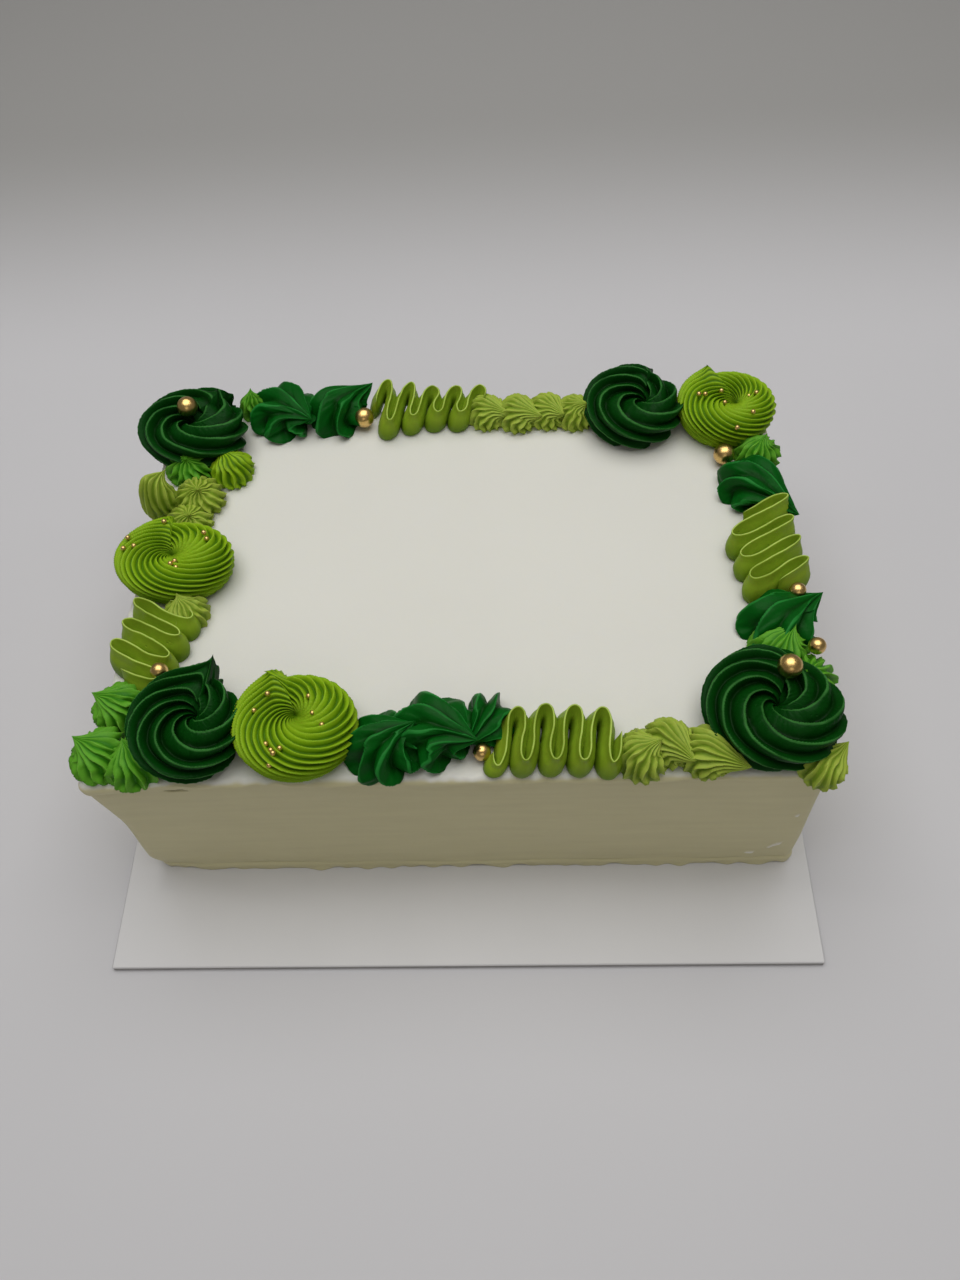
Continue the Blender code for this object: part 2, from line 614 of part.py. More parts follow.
def add_cake():
    levels = ((FOOT_OUT, 0.0), (FOOT_OUT, 2.5), (0.0, 7.0), (0.0, CAKE_HEIGHT - 9.0),
              (LIP_OUT, CAKE_HEIGHT - 2.0 * CAKE_TOP_ROUND), (LIP_OUT - CAKE_TOP_ROUND, CAKE_HEIGHT))
    rings = []
    for grow, height in levels:
        ring = cake_outline(grow, CAKE_CORNER, height)
        lip = smooth(1.0 - (CAKE_HEIGHT - height) / LIP_TALL)
        foot = smooth(1.0 - height / FOOT_TALL)
        moved = []
        for x, y, z in ring:
            near = near_front_left((x, y))
            push = (LIP_CORNER_OUT * lip - FOOT_CORNER_IN * foot) * near * math.sqrt(0.5)
            moved.append((x - push, y - push, z))
        rings.append(moved)
    points, faces = stack_of_rings(rings)
    place = (CAKE_X, CAKE_FRONT + CAKE_DEPTH / 2.0, BOARD_THICK + GAP)
    add_object("cake", "white_icing", points, faces, place)


def add_border():
    placed = []
    for piece in PIECES:
        item = add_piped(piece)
        if "pearls" in piece:
            bpy.context.view_layer.update()
            add_tiny_pearls(item, piece)
        if placed:
            guide = add_piped(piece, PIPED_CLEARANCE)
            for earlier in placed:
                cut_by(earlier, guide)
            bpy.data.objects.remove(guide, do_unlink=True)
        placed.append(item)
    return placed


def add_pearls(placed):
    for pearl in PEARLS:
        middle = (pearl["x"], pearl["y"], PIPED_Z + pearl["up"])
        guide = add_ball("guide", middle, pearl["across"] + 2.0 * PEARL_CLEARANCE, 2)
        for item in placed:
            cut_by(item, guide)
        bpy.data.objects.remove(guide, do_unlink=True)
        add_ball(pearl["name"], middle, pearl["across"], 2)


clear_scene()
add_board()
add_cake()
border = add_border()
add_pearls(border)
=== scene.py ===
import math
import bmesh
import bpy
from mathutils import Matrix, Vector, noise
from mathutils.bvhtree import BVHTree


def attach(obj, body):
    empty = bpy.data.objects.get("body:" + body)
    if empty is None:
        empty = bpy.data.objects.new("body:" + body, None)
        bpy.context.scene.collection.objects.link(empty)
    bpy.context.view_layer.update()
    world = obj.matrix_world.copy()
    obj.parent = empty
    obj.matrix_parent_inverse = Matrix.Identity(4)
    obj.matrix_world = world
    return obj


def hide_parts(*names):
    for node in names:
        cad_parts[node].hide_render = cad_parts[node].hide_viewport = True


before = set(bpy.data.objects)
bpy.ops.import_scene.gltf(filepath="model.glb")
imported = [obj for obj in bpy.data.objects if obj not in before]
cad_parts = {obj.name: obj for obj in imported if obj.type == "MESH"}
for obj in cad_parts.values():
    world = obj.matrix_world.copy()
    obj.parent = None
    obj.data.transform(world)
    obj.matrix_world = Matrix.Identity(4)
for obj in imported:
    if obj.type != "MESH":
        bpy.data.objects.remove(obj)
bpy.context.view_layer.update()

mm = 0.001
icingTop = 86.5  # height of the cake's top above the table, in mm
sink = 0.7  # how far every piped foot goes into the icing, in mm
weld = 0.004  # corners of a grown skin closer than this are merged, in mm


class Wire:  # a node's socket that can stand in an ordinary sum
    def __init__(self, bench, socket):
        self.bench = bench
        self.socket = socket

    def __add__(self, other):
        return self.bench.maths("ADD", self, other)

    def __radd__(self, other):
        return self.bench.maths("ADD", other, self)

    def __sub__(self, other):
        return self.bench.maths("SUBTRACT", self, other)

    def __rsub__(self, other):
        return self.bench.maths("SUBTRACT", other, self)

    def __mul__(self, other):
        return self.bench.maths("MULTIPLY", self, other)

    def __rmul__(self, other):
        return self.bench.maths("MULTIPLY", other, self)

    def __truediv__(self, other):
        return self.bench.maths("DIVIDE", self, other)

    def __rtruediv__(self, other):
        return self.bench.maths("DIVIDE", other, self)

    def __pow__(self, other):
        return self.bench.maths("POWER", self, other)

    def __gt__(self, other):
        return self.bench.maths("GREATER_THAN", self, other)

    def __lt__(self, other):
        return self.bench.maths("LESS_THAN", self, other)


class Bench:  # a node tree and the one way nodes get into it
    def __init__(self, tree):
        self.tree = tree

    def add(self, kind, settings=None, sockets=None, out=0):
        node = self.tree.nodes.new(kind)
        for name, value in (settings or {}).items():
            if name == "bends":  # the points of a curve, from first to last
                curve = node.mapping.curves[0]
                curve.points[0].location = value[0]
                curve.points[1].location = value[-1]
                for spot in value[1:-1]:
                    curve.points.new(*spot)
                node.mapping.update()
            else:
                setattr(node, name, value)
        for name, value in (sockets or {}).items():
            if isinstance(value, Wire):
                self.tree.links.new(value.socket, node.inputs[name])
            else:
                node.inputs[name].default_value = value
        return Wire(self, node.outputs[out])

    def maths(self, operation, *values):
        return self.add("ShaderNodeMath", {"operation": operation}, dict(enumerate(values)))

    def vectors(self, operation, first, second=(0.0, 0.0, 0.0), out=0):
        return self.add("ShaderNodeVectorMath", {"operation": operation}, {0: first, 1: second}, out)

    def scaled(self, vector, size):
        return self.add("ShaderNodeVectorMath", {"operation": "SCALE"}, {0: vector, "Scale": size})

    def spot(self, x, y, z):
        return self.add("ShaderNodeCombineXYZ", None, {0: x, 1: y, 2: z})

    def split(self, vector):  # a vector's x, y and z
        first = self.add("ShaderNodeSeparateXYZ", None, {0: vector})
        return [Wire(self, socket) for socket in first.socket.node.outputs]

    def blend(self, share, first, second, mode="MIX"):
        settings = {"data_type": "RGBA", "blend_type": mode}
        return self.add("ShaderNodeMix", settings, {0: share, 6: first, 7: second}, 2)

    def eased(self, value, low, high, first=0.0, last=1.0):
        settings = {"interpolation_type": "SMOOTHSTEP"}
        return self.add("ShaderNodeMapRange", settings, {0: value, 1: low, 2: high, 3: first, 4: last})

    def speckle(self, place, scale, detail=2.0, roughness=0.5):
        return self.add("ShaderNodeTexNoise", None,
                        {"Vector": place, "Scale": scale, "Detail": detail, "Roughness": roughness})

    def bumped(self, height, strength, distance):
        sockets = {"Strength": strength, "Distance": distance, "Height": height}
        return self.add("ShaderNodeBump", None, sockets)

    def painted(self, name):  # a number that the mesh carries at each corner
        return self.add("ShaderNodeAttribute", {"attribute_name": name}, None, 2)


def newFinish(name, look):
    finish = bpy.data.materials.new(name)
    finish.use_nodes = True
    bench = Bench(finish.node_tree)
    shader = finish.node_tree.nodes["Principled BSDF"]
    for socket, value in look.items():
        shader.inputs[socket].default_value = value

    def feed(socket, wire):
        finish.node_tree.links.new(wire.socket, shader.inputs[socket])

    place = bench.add("ShaderNodeTexCoord", None, None, 3)
    return finish, bench, feed, place


# valley and edge: the darker colour painted into the ridges' hollows as painted shade, and the lighter colour
# on their sharp lines as painted highlight together with the paler thin icing there
def pipedFinish(name, valley, body, edge, rough, pits, paleEdgeAndHighlightShare=0.8, gloss=0.14, soft=0.12):
    look = {"Subsurface Weight": soft, "Subsurface Radius": (0.4, 1.0, 0.3), "Subsurface Scale": 0.0015,
            "Specular IOR Level": gloss}
    finish, bench, feed, place = newFinish(name, look)
    crest = bench.painted("crest")
    mottle = bench.speckle(place, 95.0, 3.0)
    fine = bench.speckle(place, 900.0, 3.0, 0.6)
    # painted shade: the valley colour darkens the ridges' hollows and lifts to the body colour towards the
    # crests
    valleyShadeLift = bench.eased(crest, 0.02, 0.55)
    colour = bench.blend(valleyShadeLift, (*valley, 1.0), (*body, 1.0))
    # painted highlight: the sharp ridge lines get the lighter edge colour, together with the paler, drier thin
    # icing there
    paleEdgeAndHighlight = bench.eased(crest, 0.925, 0.995) * paleEdgeAndHighlightShare * bench.eased(mottle, 0.25, 0.6, 0.45, 1.0)
    colour = bench.blend(paleEdgeAndHighlight, colour, (*edge, 1.0))
    uneven = mottle * 0.36 + fine * 0.10 + 0.77
    colour = bench.blend(1.0, colour, bench.spot(uneven, uneven, uneven), "MULTIPLY")
    feed("Base Color", colour)
    feed("Roughness", rough + (mottle - 0.5) * 0.22 + (fine - 0.5) * 0.12)
    dots = bench.add("ShaderNodeTexVoronoi", {"feature": "F1"}, {"Vector": place, "Scale": 420.0})
    holes = bench.eased(dots, 0.10, 0.22, 1.0, 0.0) * bench.eased(bench.speckle(place, 210.0), 0.58, 0.66)
    height = fine * 0.35 + bench.speckle(place, 330.0, 2.0) * 0.65 - holes * pits
    feed("Normal", bench.bumped(height, 0.45, 0.0005))
    return finish


# per icing: painted shade colour for the hollows, body colour, edge colour (painted highlight and paler thin
# icing), roughness, pits, edge share, specular level
finishes = {
    "dark_green_icing": pipedFinish("dark green icing", (0.001, 0.022, 0.001), (0.002, 0.046, 0.003),
                                    (0.045, 0.195, 0.038), 0.42, 2.2, 0.80, 0.06),
    "emerald_icing": pipedFinish("emerald icing", (0.001, 0.034, 0.001), (0.002, 0.086, 0.006),
                                 (0.022, 0.235, 0.038), 0.38, 0.5, 0.80, 0.07),
    "mid_green_icing": pipedFinish("mid green icing", (0.033, 0.195, 0.004), (0.112, 0.355, 0.022),
                                   (0.280, 0.540, 0.090), 0.48, 0.5),
    "lime_icing": pipedFinish("lime icing", (0.070, 0.180, 0.001), (0.258, 0.440, 0.010),
                              (0.430, 0.620, 0.060), 0.46, 0.3),
    "olive_icing": pipedFinish("olive icing", (0.130, 0.235, 0.006), (0.252, 0.380, 0.022),
                               (0.450, 0.580, 0.130), 0.46, 1.2, 0.9),
    "pale_green_icing": pipedFinish("pale green icing", (0.172, 0.276, 0.016), (0.350, 0.455, 0.058),
                                    (0.540, 0.650, 0.150), 0.50, 0.4),
}


def goldFinish():
    look = {"Metallic": 1.0, "Coat Weight": 0.25, "Coat Roughness": 0.12}
    finish, bench, feed, place = newFinish("gold sugar pearl", look)
    cloud = bench.speckle(place, 420.0, 3.0)
    grain = bench.speckle(place, 2600.0, 2.0)
    feed("Base Color", bench.blend(cloud, (0.64, 0.40, 0.12, 1.0), (0.85, 0.60, 0.24, 1.0)))
    feed("Roughness", 0.22 + cloud * 0.14)
    feed("Normal", bench.bumped(grain, 0.12, 0.0002))
    return finish


def cakeFinish():
    look = {"Subsurface Weight": 0.15, "Subsurface Radius": (1.0, 0.9, 0.6), "Subsurface Scale": 0.002,
            "Specular IOR Level": 0.35}
    finish, bench, feed, place = newFinish("smooth white icing", look)
    # painted shade: this mask picks the walls, up to the rounded edge, which get a darker, yellower colour
    # than the top for the shade on the cake's sides; it also places the wall streaks' bumps
    side = bench.eased(bench.split(place)[2], 0.0845, 0.0862, 1.0, 0.0)  # the walls, up to the rounded edge
    cloud = bench.speckle(place, 14.0, 4.0)
    fine = bench.speckle(place, 700.0, 3.0, 0.6)
    stretched = bench.vectors("MULTIPLY", place, (30.0, 30.0, 260.0))
    strokes = bench.speckle(stretched, 1.0, 3.0)
    flat = bench.blend(cloud, (0.700, 0.695, 0.640, 1.0), (0.745, 0.740, 0.690, 1.0))
    # the walls' colour with painted shade: darker and warmer than the flat top though it is the same icing;
    # the strokes vary it as the icing's own streaks
    wall = bench.blend(strokes, (0.610, 0.562, 0.338, 1.0), (0.700, 0.655, 0.400, 1.0))
    colour = bench.blend(side, flat, wall)
    colour = bench.blend(bench.eased(bench.painted("blemish"), 0.05, 1.0), colour, (0.93, 0.91, 0.84, 1.0))
    # painted shade: the slit is painted near black, for the shade inside the crack
    colour = bench.blend(bench.painted("slit") * 0.9, colour, (0.09, 0.08, 0.05, 1.0))
    feed("Base Color", colour)
    feed("Roughness", 0.50 + (fine - 0.5) * 0.16 + (cloud - 0.5) * 0.10)
    height = fine * 0.30 + strokes * side * 0.9 + bench.speckle(place, 120.0, 3.0) * 0.5
    feed("Normal", bench.bumped(height, 0.30, 0.0006))
    return finish


def boardFinish():
    finish, bench, feed, place = newFinish("white coated card", {"Specular IOR Level": 0.4})
    cloud = bench.speckle(place, 22.0, 3.0)
    grain = bench.speckle(place, 1400.0, 3.0, 0.7)
    along = bench.vectors("MULTIPLY", place, (40.0, 900.0, 900.0))
    fibres = bench.speckle(along, 1.0, 3.0)
    cut = bench.eased(bench.split(place)[2], 0.0022, 0.0028, 1.0, 0.0)  # the cut edge shows its grey layers
    flat = bench.blend(cloud, (0.660, 0.655, 0.670, 1.0), (0.700, 0.695, 0.710, 1.0))
    layers = bench.blend(fibres, (0.250, 0.245, 0.240, 1.0), (0.470, 0.460, 0.450, 1.0))
    feed("Base Color", bench.blend(cut, flat, layers))
    feed("Roughness", 0.50 + (grain - 0.5) * 0.20 + cut * 0.3)
    feed("Normal", bench.bumped(grain, 0.15, 0.0002))
    return finish


finishes["gold"] = goldFinish()
finishes["white_icing"] = cakeFinish()
finishes["white_board"] = boardFinish()
print("finishes mixed")


def startTree(name, numbers, vectors="", counts=""):
    # each word is a named input of the tree, with its underscores read as spaces
    tree = bpy.data.node_groups.new(name, "GeometryNodeTree")
    tree.interface.new_socket("Geometry", in_out="INPUT", socket_type="NodeSocketGeometry")
    tree.interface.new_socket("Geometry", in_out="OUTPUT", socket_type="NodeSocketGeometry")
    for kind, words in (("Float", numbers), ("Vector", vectors), ("Int", counts), ("Material", "Finish")):
        for word in words.split():
            tree.interface.new_socket(word.replace("_", " "), in_out="INPUT", socket_type="NodeSocket" + kind)
    bench = Bench(tree)
    entry = tree.nodes.new("NodeGroupInput")
    inlets = {socket.name: Wire(bench, socket) for socket in entry.outputs if socket.name}
    return bench, inlets


def endTree(bench, shape, finish):
    whole = bench.add("GeometryNodeRealizeInstances", None, {0: shape})
    smoothed = bench.add("GeometryNodeSetShadeSmooth", None, {"Geometry": whole, "Shade Smooth": True})
    dressed = bench.add("GeometryNodeSetMaterial", None, {"Geometry": smoothed, "Material": finish})
    outlet = bench.tree.nodes.new("NodeGroupOutput")
    bench.tree.links.new(dressed.socket, outlet.inputs[0])
    return bench.tree


def skinGrid(bench, columns, rows):
    # a flat sheet of columns by rows corners, with each corner's own column and row number
    grid = bench.add("GeometryNodeMeshGrid", None,
                     {"Size X": 1.0, "Size Y": 1.0, "Vertices X": columns, "Vertices Y": rows})
    flat = bench.add("GeometryNodeInputPosition")
    across, along, _ = bench.split(flat)
    column = bench.maths("ROUND", (across + 0.5) * (columns - 1.0))
    row = bench.maths("ROUND", (along + 0.5) * (rows - 1.0))
    return grid, column, row


def crestOf(bench, phase, lean, bluntness=0.015):
    # 1 on a ridge's sharp line and 0 in the round valley, with one side steeper where the lean isn't 1
    part = bench.maths("FRACT", phase / math.tau) ** lean
    wave = bench.maths("SINE", part * math.pi)
    return 1.0 + bluntness - bench.maths("SQRT", wave * wave + bluntness ** 2)


def placed(bench, grid, point, crest):
    kept = bench.add("GeometryNodeStoreNamedAttribute", {"data_type": "FLOAT", "domain": "POINT"},
                     {"Geometry": grid, "Name": "crest", "Value": crest})
    sockets = {"Geometry": kept, "Position": bench.scaled(point, mm)}
    moved = bench.add("GeometryNodeSetPosition", None, sockets)
    return bench.add("GeometryNodeMergeByDistance", None, {"Geometry": moved, "Distance": weld * mm})


def faceOutwards(item):
    skin = bmesh.new()
    skin.from_mesh(item.data)
    bmesh.ops.dissolve_degenerate(skin, edges=skin.edges[:], dist=1e-7)
    if skin.calc_volume(signed=True) < 0.0:
        bmesh.ops.reverse_faces(skin, faces=skin.faces[:])
    skin.to_mesh(item.data)
    skin.free()


def handOver(item, node):  # the finished piece stands in for the CAD node
    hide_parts(node)
    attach(item, "root")


def newItem(name, mesh):
    item = bpy.data.objects.new(name, mesh)
    bpy.context.scene.collection.objects.link(item)
    return item


def fromRow(piece, words):  # the tree's inputs that a piece's row gives under the same names
    return {word.replace("_", " "): float(piece[word[0].lower() + word[1:].replace("_", "")])
            for word in words.split()}


def grow(tree, name, finish, sizes, start=()):
    sizes = {**sizes, "Finish": finishes[finish]}
    mesh = bpy.data.meshes.new(name)
    mesh.from_pydata(start, [], [])
    item = newItem(name, mesh)
    modifier = item.modifiers.new("grown", "NODES")
    modifier.node_group = tree
    for socket in tree.interface.items_tree:
        if socket.in_out == "INPUT" and socket.name in sizes:
            modifier[socket.identifier] = sizes[socket.name]
    depsgraph = bpy.context.evaluated_depsgraph_get()
    grown = item.evaluated_get(depsgraph)
    mesh = bpy.data.meshes.new_from_object(grown, preserve_all_data_layers=True, depsgraph=depsgraph)
    item.modifiers.clear()
    item.data = mesh
    return item


def pipe(tree, name, finish, sizes):
    item = grow(tree, name + "_icing", finish, sizes)
    faceOutwards(item)
    handOver(item, name)
    return item


rosetteLook = {
    "undercut": 0.85,  # how far the rope's skin turns back under itself, in radians
    "startSize": 0.82,  # the rope's start is thinner than its end
    "growsFor": 2.4,  # in radians of its turn
    "pitCalm": 0.5,  # the ridges die out in the pit, over this angle
    "pitWide": 0.17,
    "pitCurl": 1.1,  # extra turn of the ridges inside the pit, in radians
    "uneven": 0.9,  # share by which the ridges' depth comes and goes
    "tremble": 0.24,  # share of the depth that the ridges' edges shake by
    "tipAngle": 0.6 * math.pi,  # where on the rope's section the tip stands
    "tipSpread": 2.2,  # reach of the drawn skin, in lengths of the tip
    "tipSharp": 2.1,
    "tipGather": 0.93,  # share of the way that the skin goes in to the tip's root
    "tipSmooth": 0.93,  # share of the ridges' depth that is lost there
}
ropes = {  # the ridges that the open and the fine piping tip leave, and how fine the skin is
    "dark_green_icing": {"Wander": 2.2, "Ridge Lean": 2.0, "Start Swirl": 1.0, "End Swirl": 1.6,
                         "Columns": 340, "Rows": 96},
    "lime_icing": {"Wander": 3.2, "Ridge Lean": 1.2, "Start Swirl": 0.85, "End Swirl": 1.45,
                   "Columns": 520, "Rows": 100},
}
# sizes in mm, the tail's angle in degrees; tip, pit and pearls are seen from the rosette's middle
rosettes = (
    dict(name="rosette_dark_back_left", finish="dark_green_icing", x=-124.0, y=75.0, across=27.0, deep=21.8,
         height=19.0, ridges=6, depth=4.0, tail=55, tip=(10.0, 15.0, 21.0), pit=(-4.0, 4.0)),
    dict(name="rosette_dark_back_right", finish="dark_green_icing", x=83.2, y=82.2, across=23.8, deep=22.5,
         height=18.0, ridges=6, depth=4.0, tail=64, tip=(5.0, 12.5, 19.5), pit=(4.9, 2.6)),
    dict(name="rosette_lime_back_right", finish="lime_icing", x=125.3, y=80.1, across=22.4, deep=22.0,
         height=17.5, ridges=17, depth=2.6, tail=109, tip=(-8.8, 16.0, 20.5), pit=(5.0, 2.2),
         pearls=((-13.8, -0.3), (-11.1, -0.4), (-2.3, 3.7), (-1.2, -3.4), (9.8, 1.9), (12.5, 1.1),
                 (9.5, -13.4), (1.3, -20.0))),
    dict(name="rosette_dark_front_right", finish="dark_green_icing", x=124.0, y=-81.0, across=27.5, deep=25.6,
         height=20.0, ridges=6.5, depth=4.0, tail=67, tip=(4.5, 13.0, 20.5), pit=(1.1, 1.1)),
    dict(name="rosette_dark_front_left", finish="dark_green_icing", x=-102.5, y=-83.8, across=23.5, deep=23.7,
         height=19.5, ridges=7, depth=4.4, tail=65, tip=(10.0, 23.4, 24.6), pit=(2.0, 4.0)),
    dict(name="rosette_lime_front", finish="lime_icing", x=-60.3, y=-84.3, across=24.6, deep=23.5,
         height=19.0, ridges=17, depth=2.9, tail=104, tip=(-12.0, 16.4, 22.5), pit=(-1.2, 4.2),
         pearls=((-9.9, 8.2), (-14.6, 1.6), (4.5, 9.2), (7.1, 2.1), (11.6, -4.5), (-8.7, -12.2),
                 (-6.5, -14.8), (-3.8, -14.8), (-5.8, -17.3), (-7.3, -20.5))),
    dict(name="rosette_lime_left", finish="lime_icing", x=-121.4, y=-2.0, across=26.0, deep=20.8,
         height=17.5, ridges=17, depth=2.9, tail=98, tip=(-4.6, 15.0, 18.0), pit=(-3.0, 3.0),
         pearls=((-5.0, 14.0), (-20.2, 6.1), (-21.3, 0.7), (-16.2, 1.6), (13.3, 7.7), (13.7, 5.5),
                 (2.4, -5.4), (0.9, -7.0), (2.7, -9.7))),
)


def rosetteTree():
    bench, inlet = startTree(
        "piped rosette",
        "Across Deep Height Ridges Ridge_Depth Tail_Angle Wander Ridge_Lean Start_Swirl End_Swirl Seed",
        "Pit Tip_Root Tip_Draw Place", "Columns Rows")
    look = rosetteLook
    columns = inlet["Columns"]
    rows = inlet["Rows"]
    grid, column, row = skinGrid(bench, columns + 2.0, rows + 2.0)
    # the last column goes back to the rope's start, which makes the step where the end laps over it
    lap = bench.maths("MINIMUM", column, columns) * (column < columns + 0.5)
    turned = lap / columns * math.tau
    angle = bench.maths("MINIMUM", row, rows) / rows * (math.pi + look["undercut"])
    under = row > rows + 0.5
    seed = inlet["Seed"]
    drift = bench.speckle(bench.spot(turned * 0.9, angle * 0.8, seed), 1.0, 2.0) - 0.5
    strength = bench.speckle(bench.spot(turned * 1.3, angle * 0.5, seed + 7.3), 1.3, 2.0) - 0.5
    tremble = bench.speckle(bench.spot(turned * 9.0, angle * 5.0, seed + 3.1), 1.4, 3.0) - 0.5
    swirl = inlet["Start Swirl"] + (inlet["End Swirl"] - inlet["Start Swirl"]) * turned / math.tau
    curl = (1.0 - bench.maths("EXPONENT", angle * -2.2)) * look["pitCurl"]
    phase = inlet["Ridges"] * (turned + angle * swirl + curl) + drift * inlet["Wander"]
    crest = crestOf(bench, phase, inlet["Ridge Lean"])
    grown = bench.eased(turned, 0.0, look["growsFor"], look["startSize"], 1.0)
    fade = bench.maths("MINIMUM", angle / look["pitCalm"], 1.0)
    ridge = inlet["Ridge Depth"] * fade * (1.0 - crest) * (1.0 + strength * look["uneven"])
    # the ridges run out where the tip is drawn
    fromTip = (math.tau - turned) ** 2.0 * 5.0 + (angle - look["tipAngle"]) ** 2.0 * 0.6
    ridge = ridge * (1.0 - bench.maths("EXPONENT", fromTip * -1.0) * look["tipSmooth"])
    ridge = ridge - tremble * crest * fade * inlet["Ridge Depth"] * look["tremble"]
    across = inlet["Across"]
    tall = inlet["Height"] / (1.0 + math.sin(look["undercut"]))
    half = grown * 0.5
    out = half - (half - ridge / across) * bench.maths("COSINE", angle)
    out = out + bench.maths("SINE", bench.maths("MINIMUM", angle, math.pi)) * look["pitWide"]
    up = tall * math.sin(look["undercut"]) + (tall * grown - ridge) * bench.maths("SINE", angle)
    around = inlet["Tail Angle"] - turned
    inner = bench.maths("MAXIMUM", 1.0 - out, 0.0) ** 2.0
    pitX, pitY, _ = bench.split(inlet["Pit"])
    x = pitX * inner + across * out * bench.maths("COSINE", around)
    y = pitY * inner + inlet["Deep"] * out * bench.maths("SINE", around)
    z = bench.maths("MAXIMUM", up, 0.0)
    point = bench.spot(x, y, z)
    # the skin near the rope's end is drawn out to the tip
    reach = bench.vectors("LENGTH", inlet["Tip Draw"], out=1) * look["tipSpread"]
    far = bench.vectors("DISTANCE", point, inlet["Tip Root"], 1)
    near = bench.maths("MAXIMUM", 1.0 - far / reach, 0.0) * bench.eased(turned, 2.4, 5.2)
    near = near * bench.eased(angle, 0.2, 1.2) * bench.eased(angle, 2.5, 3.6, 1.0, 0.3)
    gathered = bench.vectors("SUBTRACT", inlet["Tip Root"], point)
    point = bench.vectors("ADD", point, bench.scaled(gathered, near ** 2.0 * look["tipGather"]))
    point = bench.vectors("ADD", point, bench.scaled(inlet["Tip Draw"], near ** look["tipSharp"]))
    keep = 1.0 - under
    point = bench.scaled(point, keep)
    low = bench.spot(0.0, 0.0, bench.eased(z, 0.0, 3.0, -sink, 0.0) * keep - under * sink)
    point = bench.vectors("ADD", bench.vectors("ADD", point, low), inlet["Place"])
    # painted shade: the stored crest is multiplied by the fade, so it is 0 in the pit and the icing paints the
    # pit in the darker valley colour
    return endTree(bench, placed(bench, grid, point, crest * fade), inlet["Finish"])


def ropePoint(piece, turned, angle):  # a spot on the rope without its ridges
    look = rosetteLook
    tall = piece["height"] / (1.0 + math.sin(look["undercut"]))
    share = min(1.0, turned / look["growsFor"])
    size = look["startSize"] + (1.0 - look["startSize"]) * share * share * (3.0 - 2.0 * share)
    out = 0.5 * size * (1.0 - math.cos(angle)) + look["pitWide"] * math.sin(angle)
    up = tall * math.sin(look["undercut"]) + tall * size * math.sin(angle)
    around = math.radians(piece["tail"]) - turned
    inner = max(0.0, 1.0 - out) ** 2
    return Vector((piece["pit"][0] * inner + piece["across"] * out * math.cos(around),
                   piece["pit"][1] * inner + piece["deep"] * out * math.sin(around), max(0.0, up)))


tinyPearls = {
    "across": 2.3,
    "raised": 0.46,  # share of its width that a pearl's middle stands above the icing
    "slope": 0.6,  # 0 stands a pearl straight up on the icing, and 1 along the way that its skin faces
    "splits": 3,
}


def tinyPearlTree():
    bench, inlet = startTree("tiny pearls", "Radius", "", "Splits")
    sizes = {"Radius": inlet["Radius"], "Subdivisions": inlet["Splits"]}
    ball = bench.add("GeometryNodeMeshIcoSphere", None, sizes)
    spots = bench.add("GeometryNodeInstanceOnPoints", None, {"Points": inlet["Geometry"], "Instance": ball})
    return endTree(bench, spots, inlet["Finish"])


def layTinyPearls(tree, rosette, piece):
    skin = BVHTree.FromPolygons([corner.co for corner in rosette.data.vertices],
                                [tuple(face.vertices) for face in rosette.data.polygons])
    size = tinyPearls["across"]
    spots = []
    for x, y in piece["pearls"]:
        above = Vector(((piece["x"] + x) * mm, (piece["y"] + y) * mm, 0.2))
        hit, slope = skin.ray_cast(above, Vector((0.0, 0.0, -1.0)))[:2]
        slope = Vector((0.0, 0.0, 1.0)).lerp(slope if slope.z > 0.0 else -slope, tinyPearls["slope"])
        spots.append(hit + slope.normalized() * tinyPearls["raised"] * size * mm)
    item = grow(tree, piece["name"].replace("rosette", "tiny_pearls"), "gold",
                {"Radius": size * mm / 2.0, "Splits": tinyPearls["splits"]}, spots)
    handOver(item, piece["name"])


rosetteGrower = rosetteTree()
tinyPearlLayer = tinyPearlTree()
for number, piece in enumerate(rosettes):
    root = ropePoint(piece, math.tau, rosetteLook["tipAngle"])
    item = pipe(rosetteGrower, piece["name"], piece["finish"], {
        "Ridge Depth": piece["depth"], "Tail Angle": math.radians(piece["tail"]), "Tip Root": root,
        "Tip Draw": Vector(piece["tip"]) - root, "Pit": (*piece["pit"], 0.0),
        "Place": (piece["x"], piece["y"], icingTop), "Seed": 11.7 * number,
        **fromRow(piece, "Across Deep Height Ridges"), **ropes[piece["finish"]],
    })
    if "pearls" in piece:
        layTinyPearls(tinyPearlLayer, item, piece)
print("rosettes piped")


starLook = {
    "columns": 210,
    "rows": 52,
    "dropReach": 0.33,  # how far the tip of a standing drop leans, in radii
    "shellReach": 2.75,  # how far a shell's tail lies from its middle, in radii
    "dropTop": 1.26,
    "shellTop": 1.32,
    "uneven": 0.9,  # share by which the ridges' depth comes and goes
    "tremble": 0.07,
    "bulk": 0.24,  # how lopsided the piped body is
    # at the foot, then every fifth of the way to the tip: along, up, tilt in degrees, radius
    "dropRows": ((0, 0, 0, 0.88), (0, 0.30, 0, 1.0), (0.05, 0.76, 6, 0.77), (0.14, 1.0, 15, 0.42),
                 (0.27, 1.17, 24, 0.13), (0.41, 1.30, 24, 0.0)),
    "shellRows": ((0, 0, 0, 0.88), (0, 0.28, 8, 1.0), (0.58, 0.62, 52, 0.89), (1.40, 0.42, 80, 0.55),
                  (2.35, 0.15, 92, 0.19), (2.70, 0.145, 92, 0.0)),
    "scales": (3.0, 1.5, 100.0, 1.1),  # brings each of the four under 1 for its curve
}
starRidges = {"deeper": 1.45, "Ridge Lean": 1.1, "Twist": 0.5, "Ripple": 1.2, "Blunt": 0.03}
otherRidges = {
    "emerald_icing": {"Ridge Lean": 1.35, "Twist": 1.5, "Ripple": 0.7, "Blunt": 0.16},
    "mid_green_icing": {"deeper": 1.65},
}
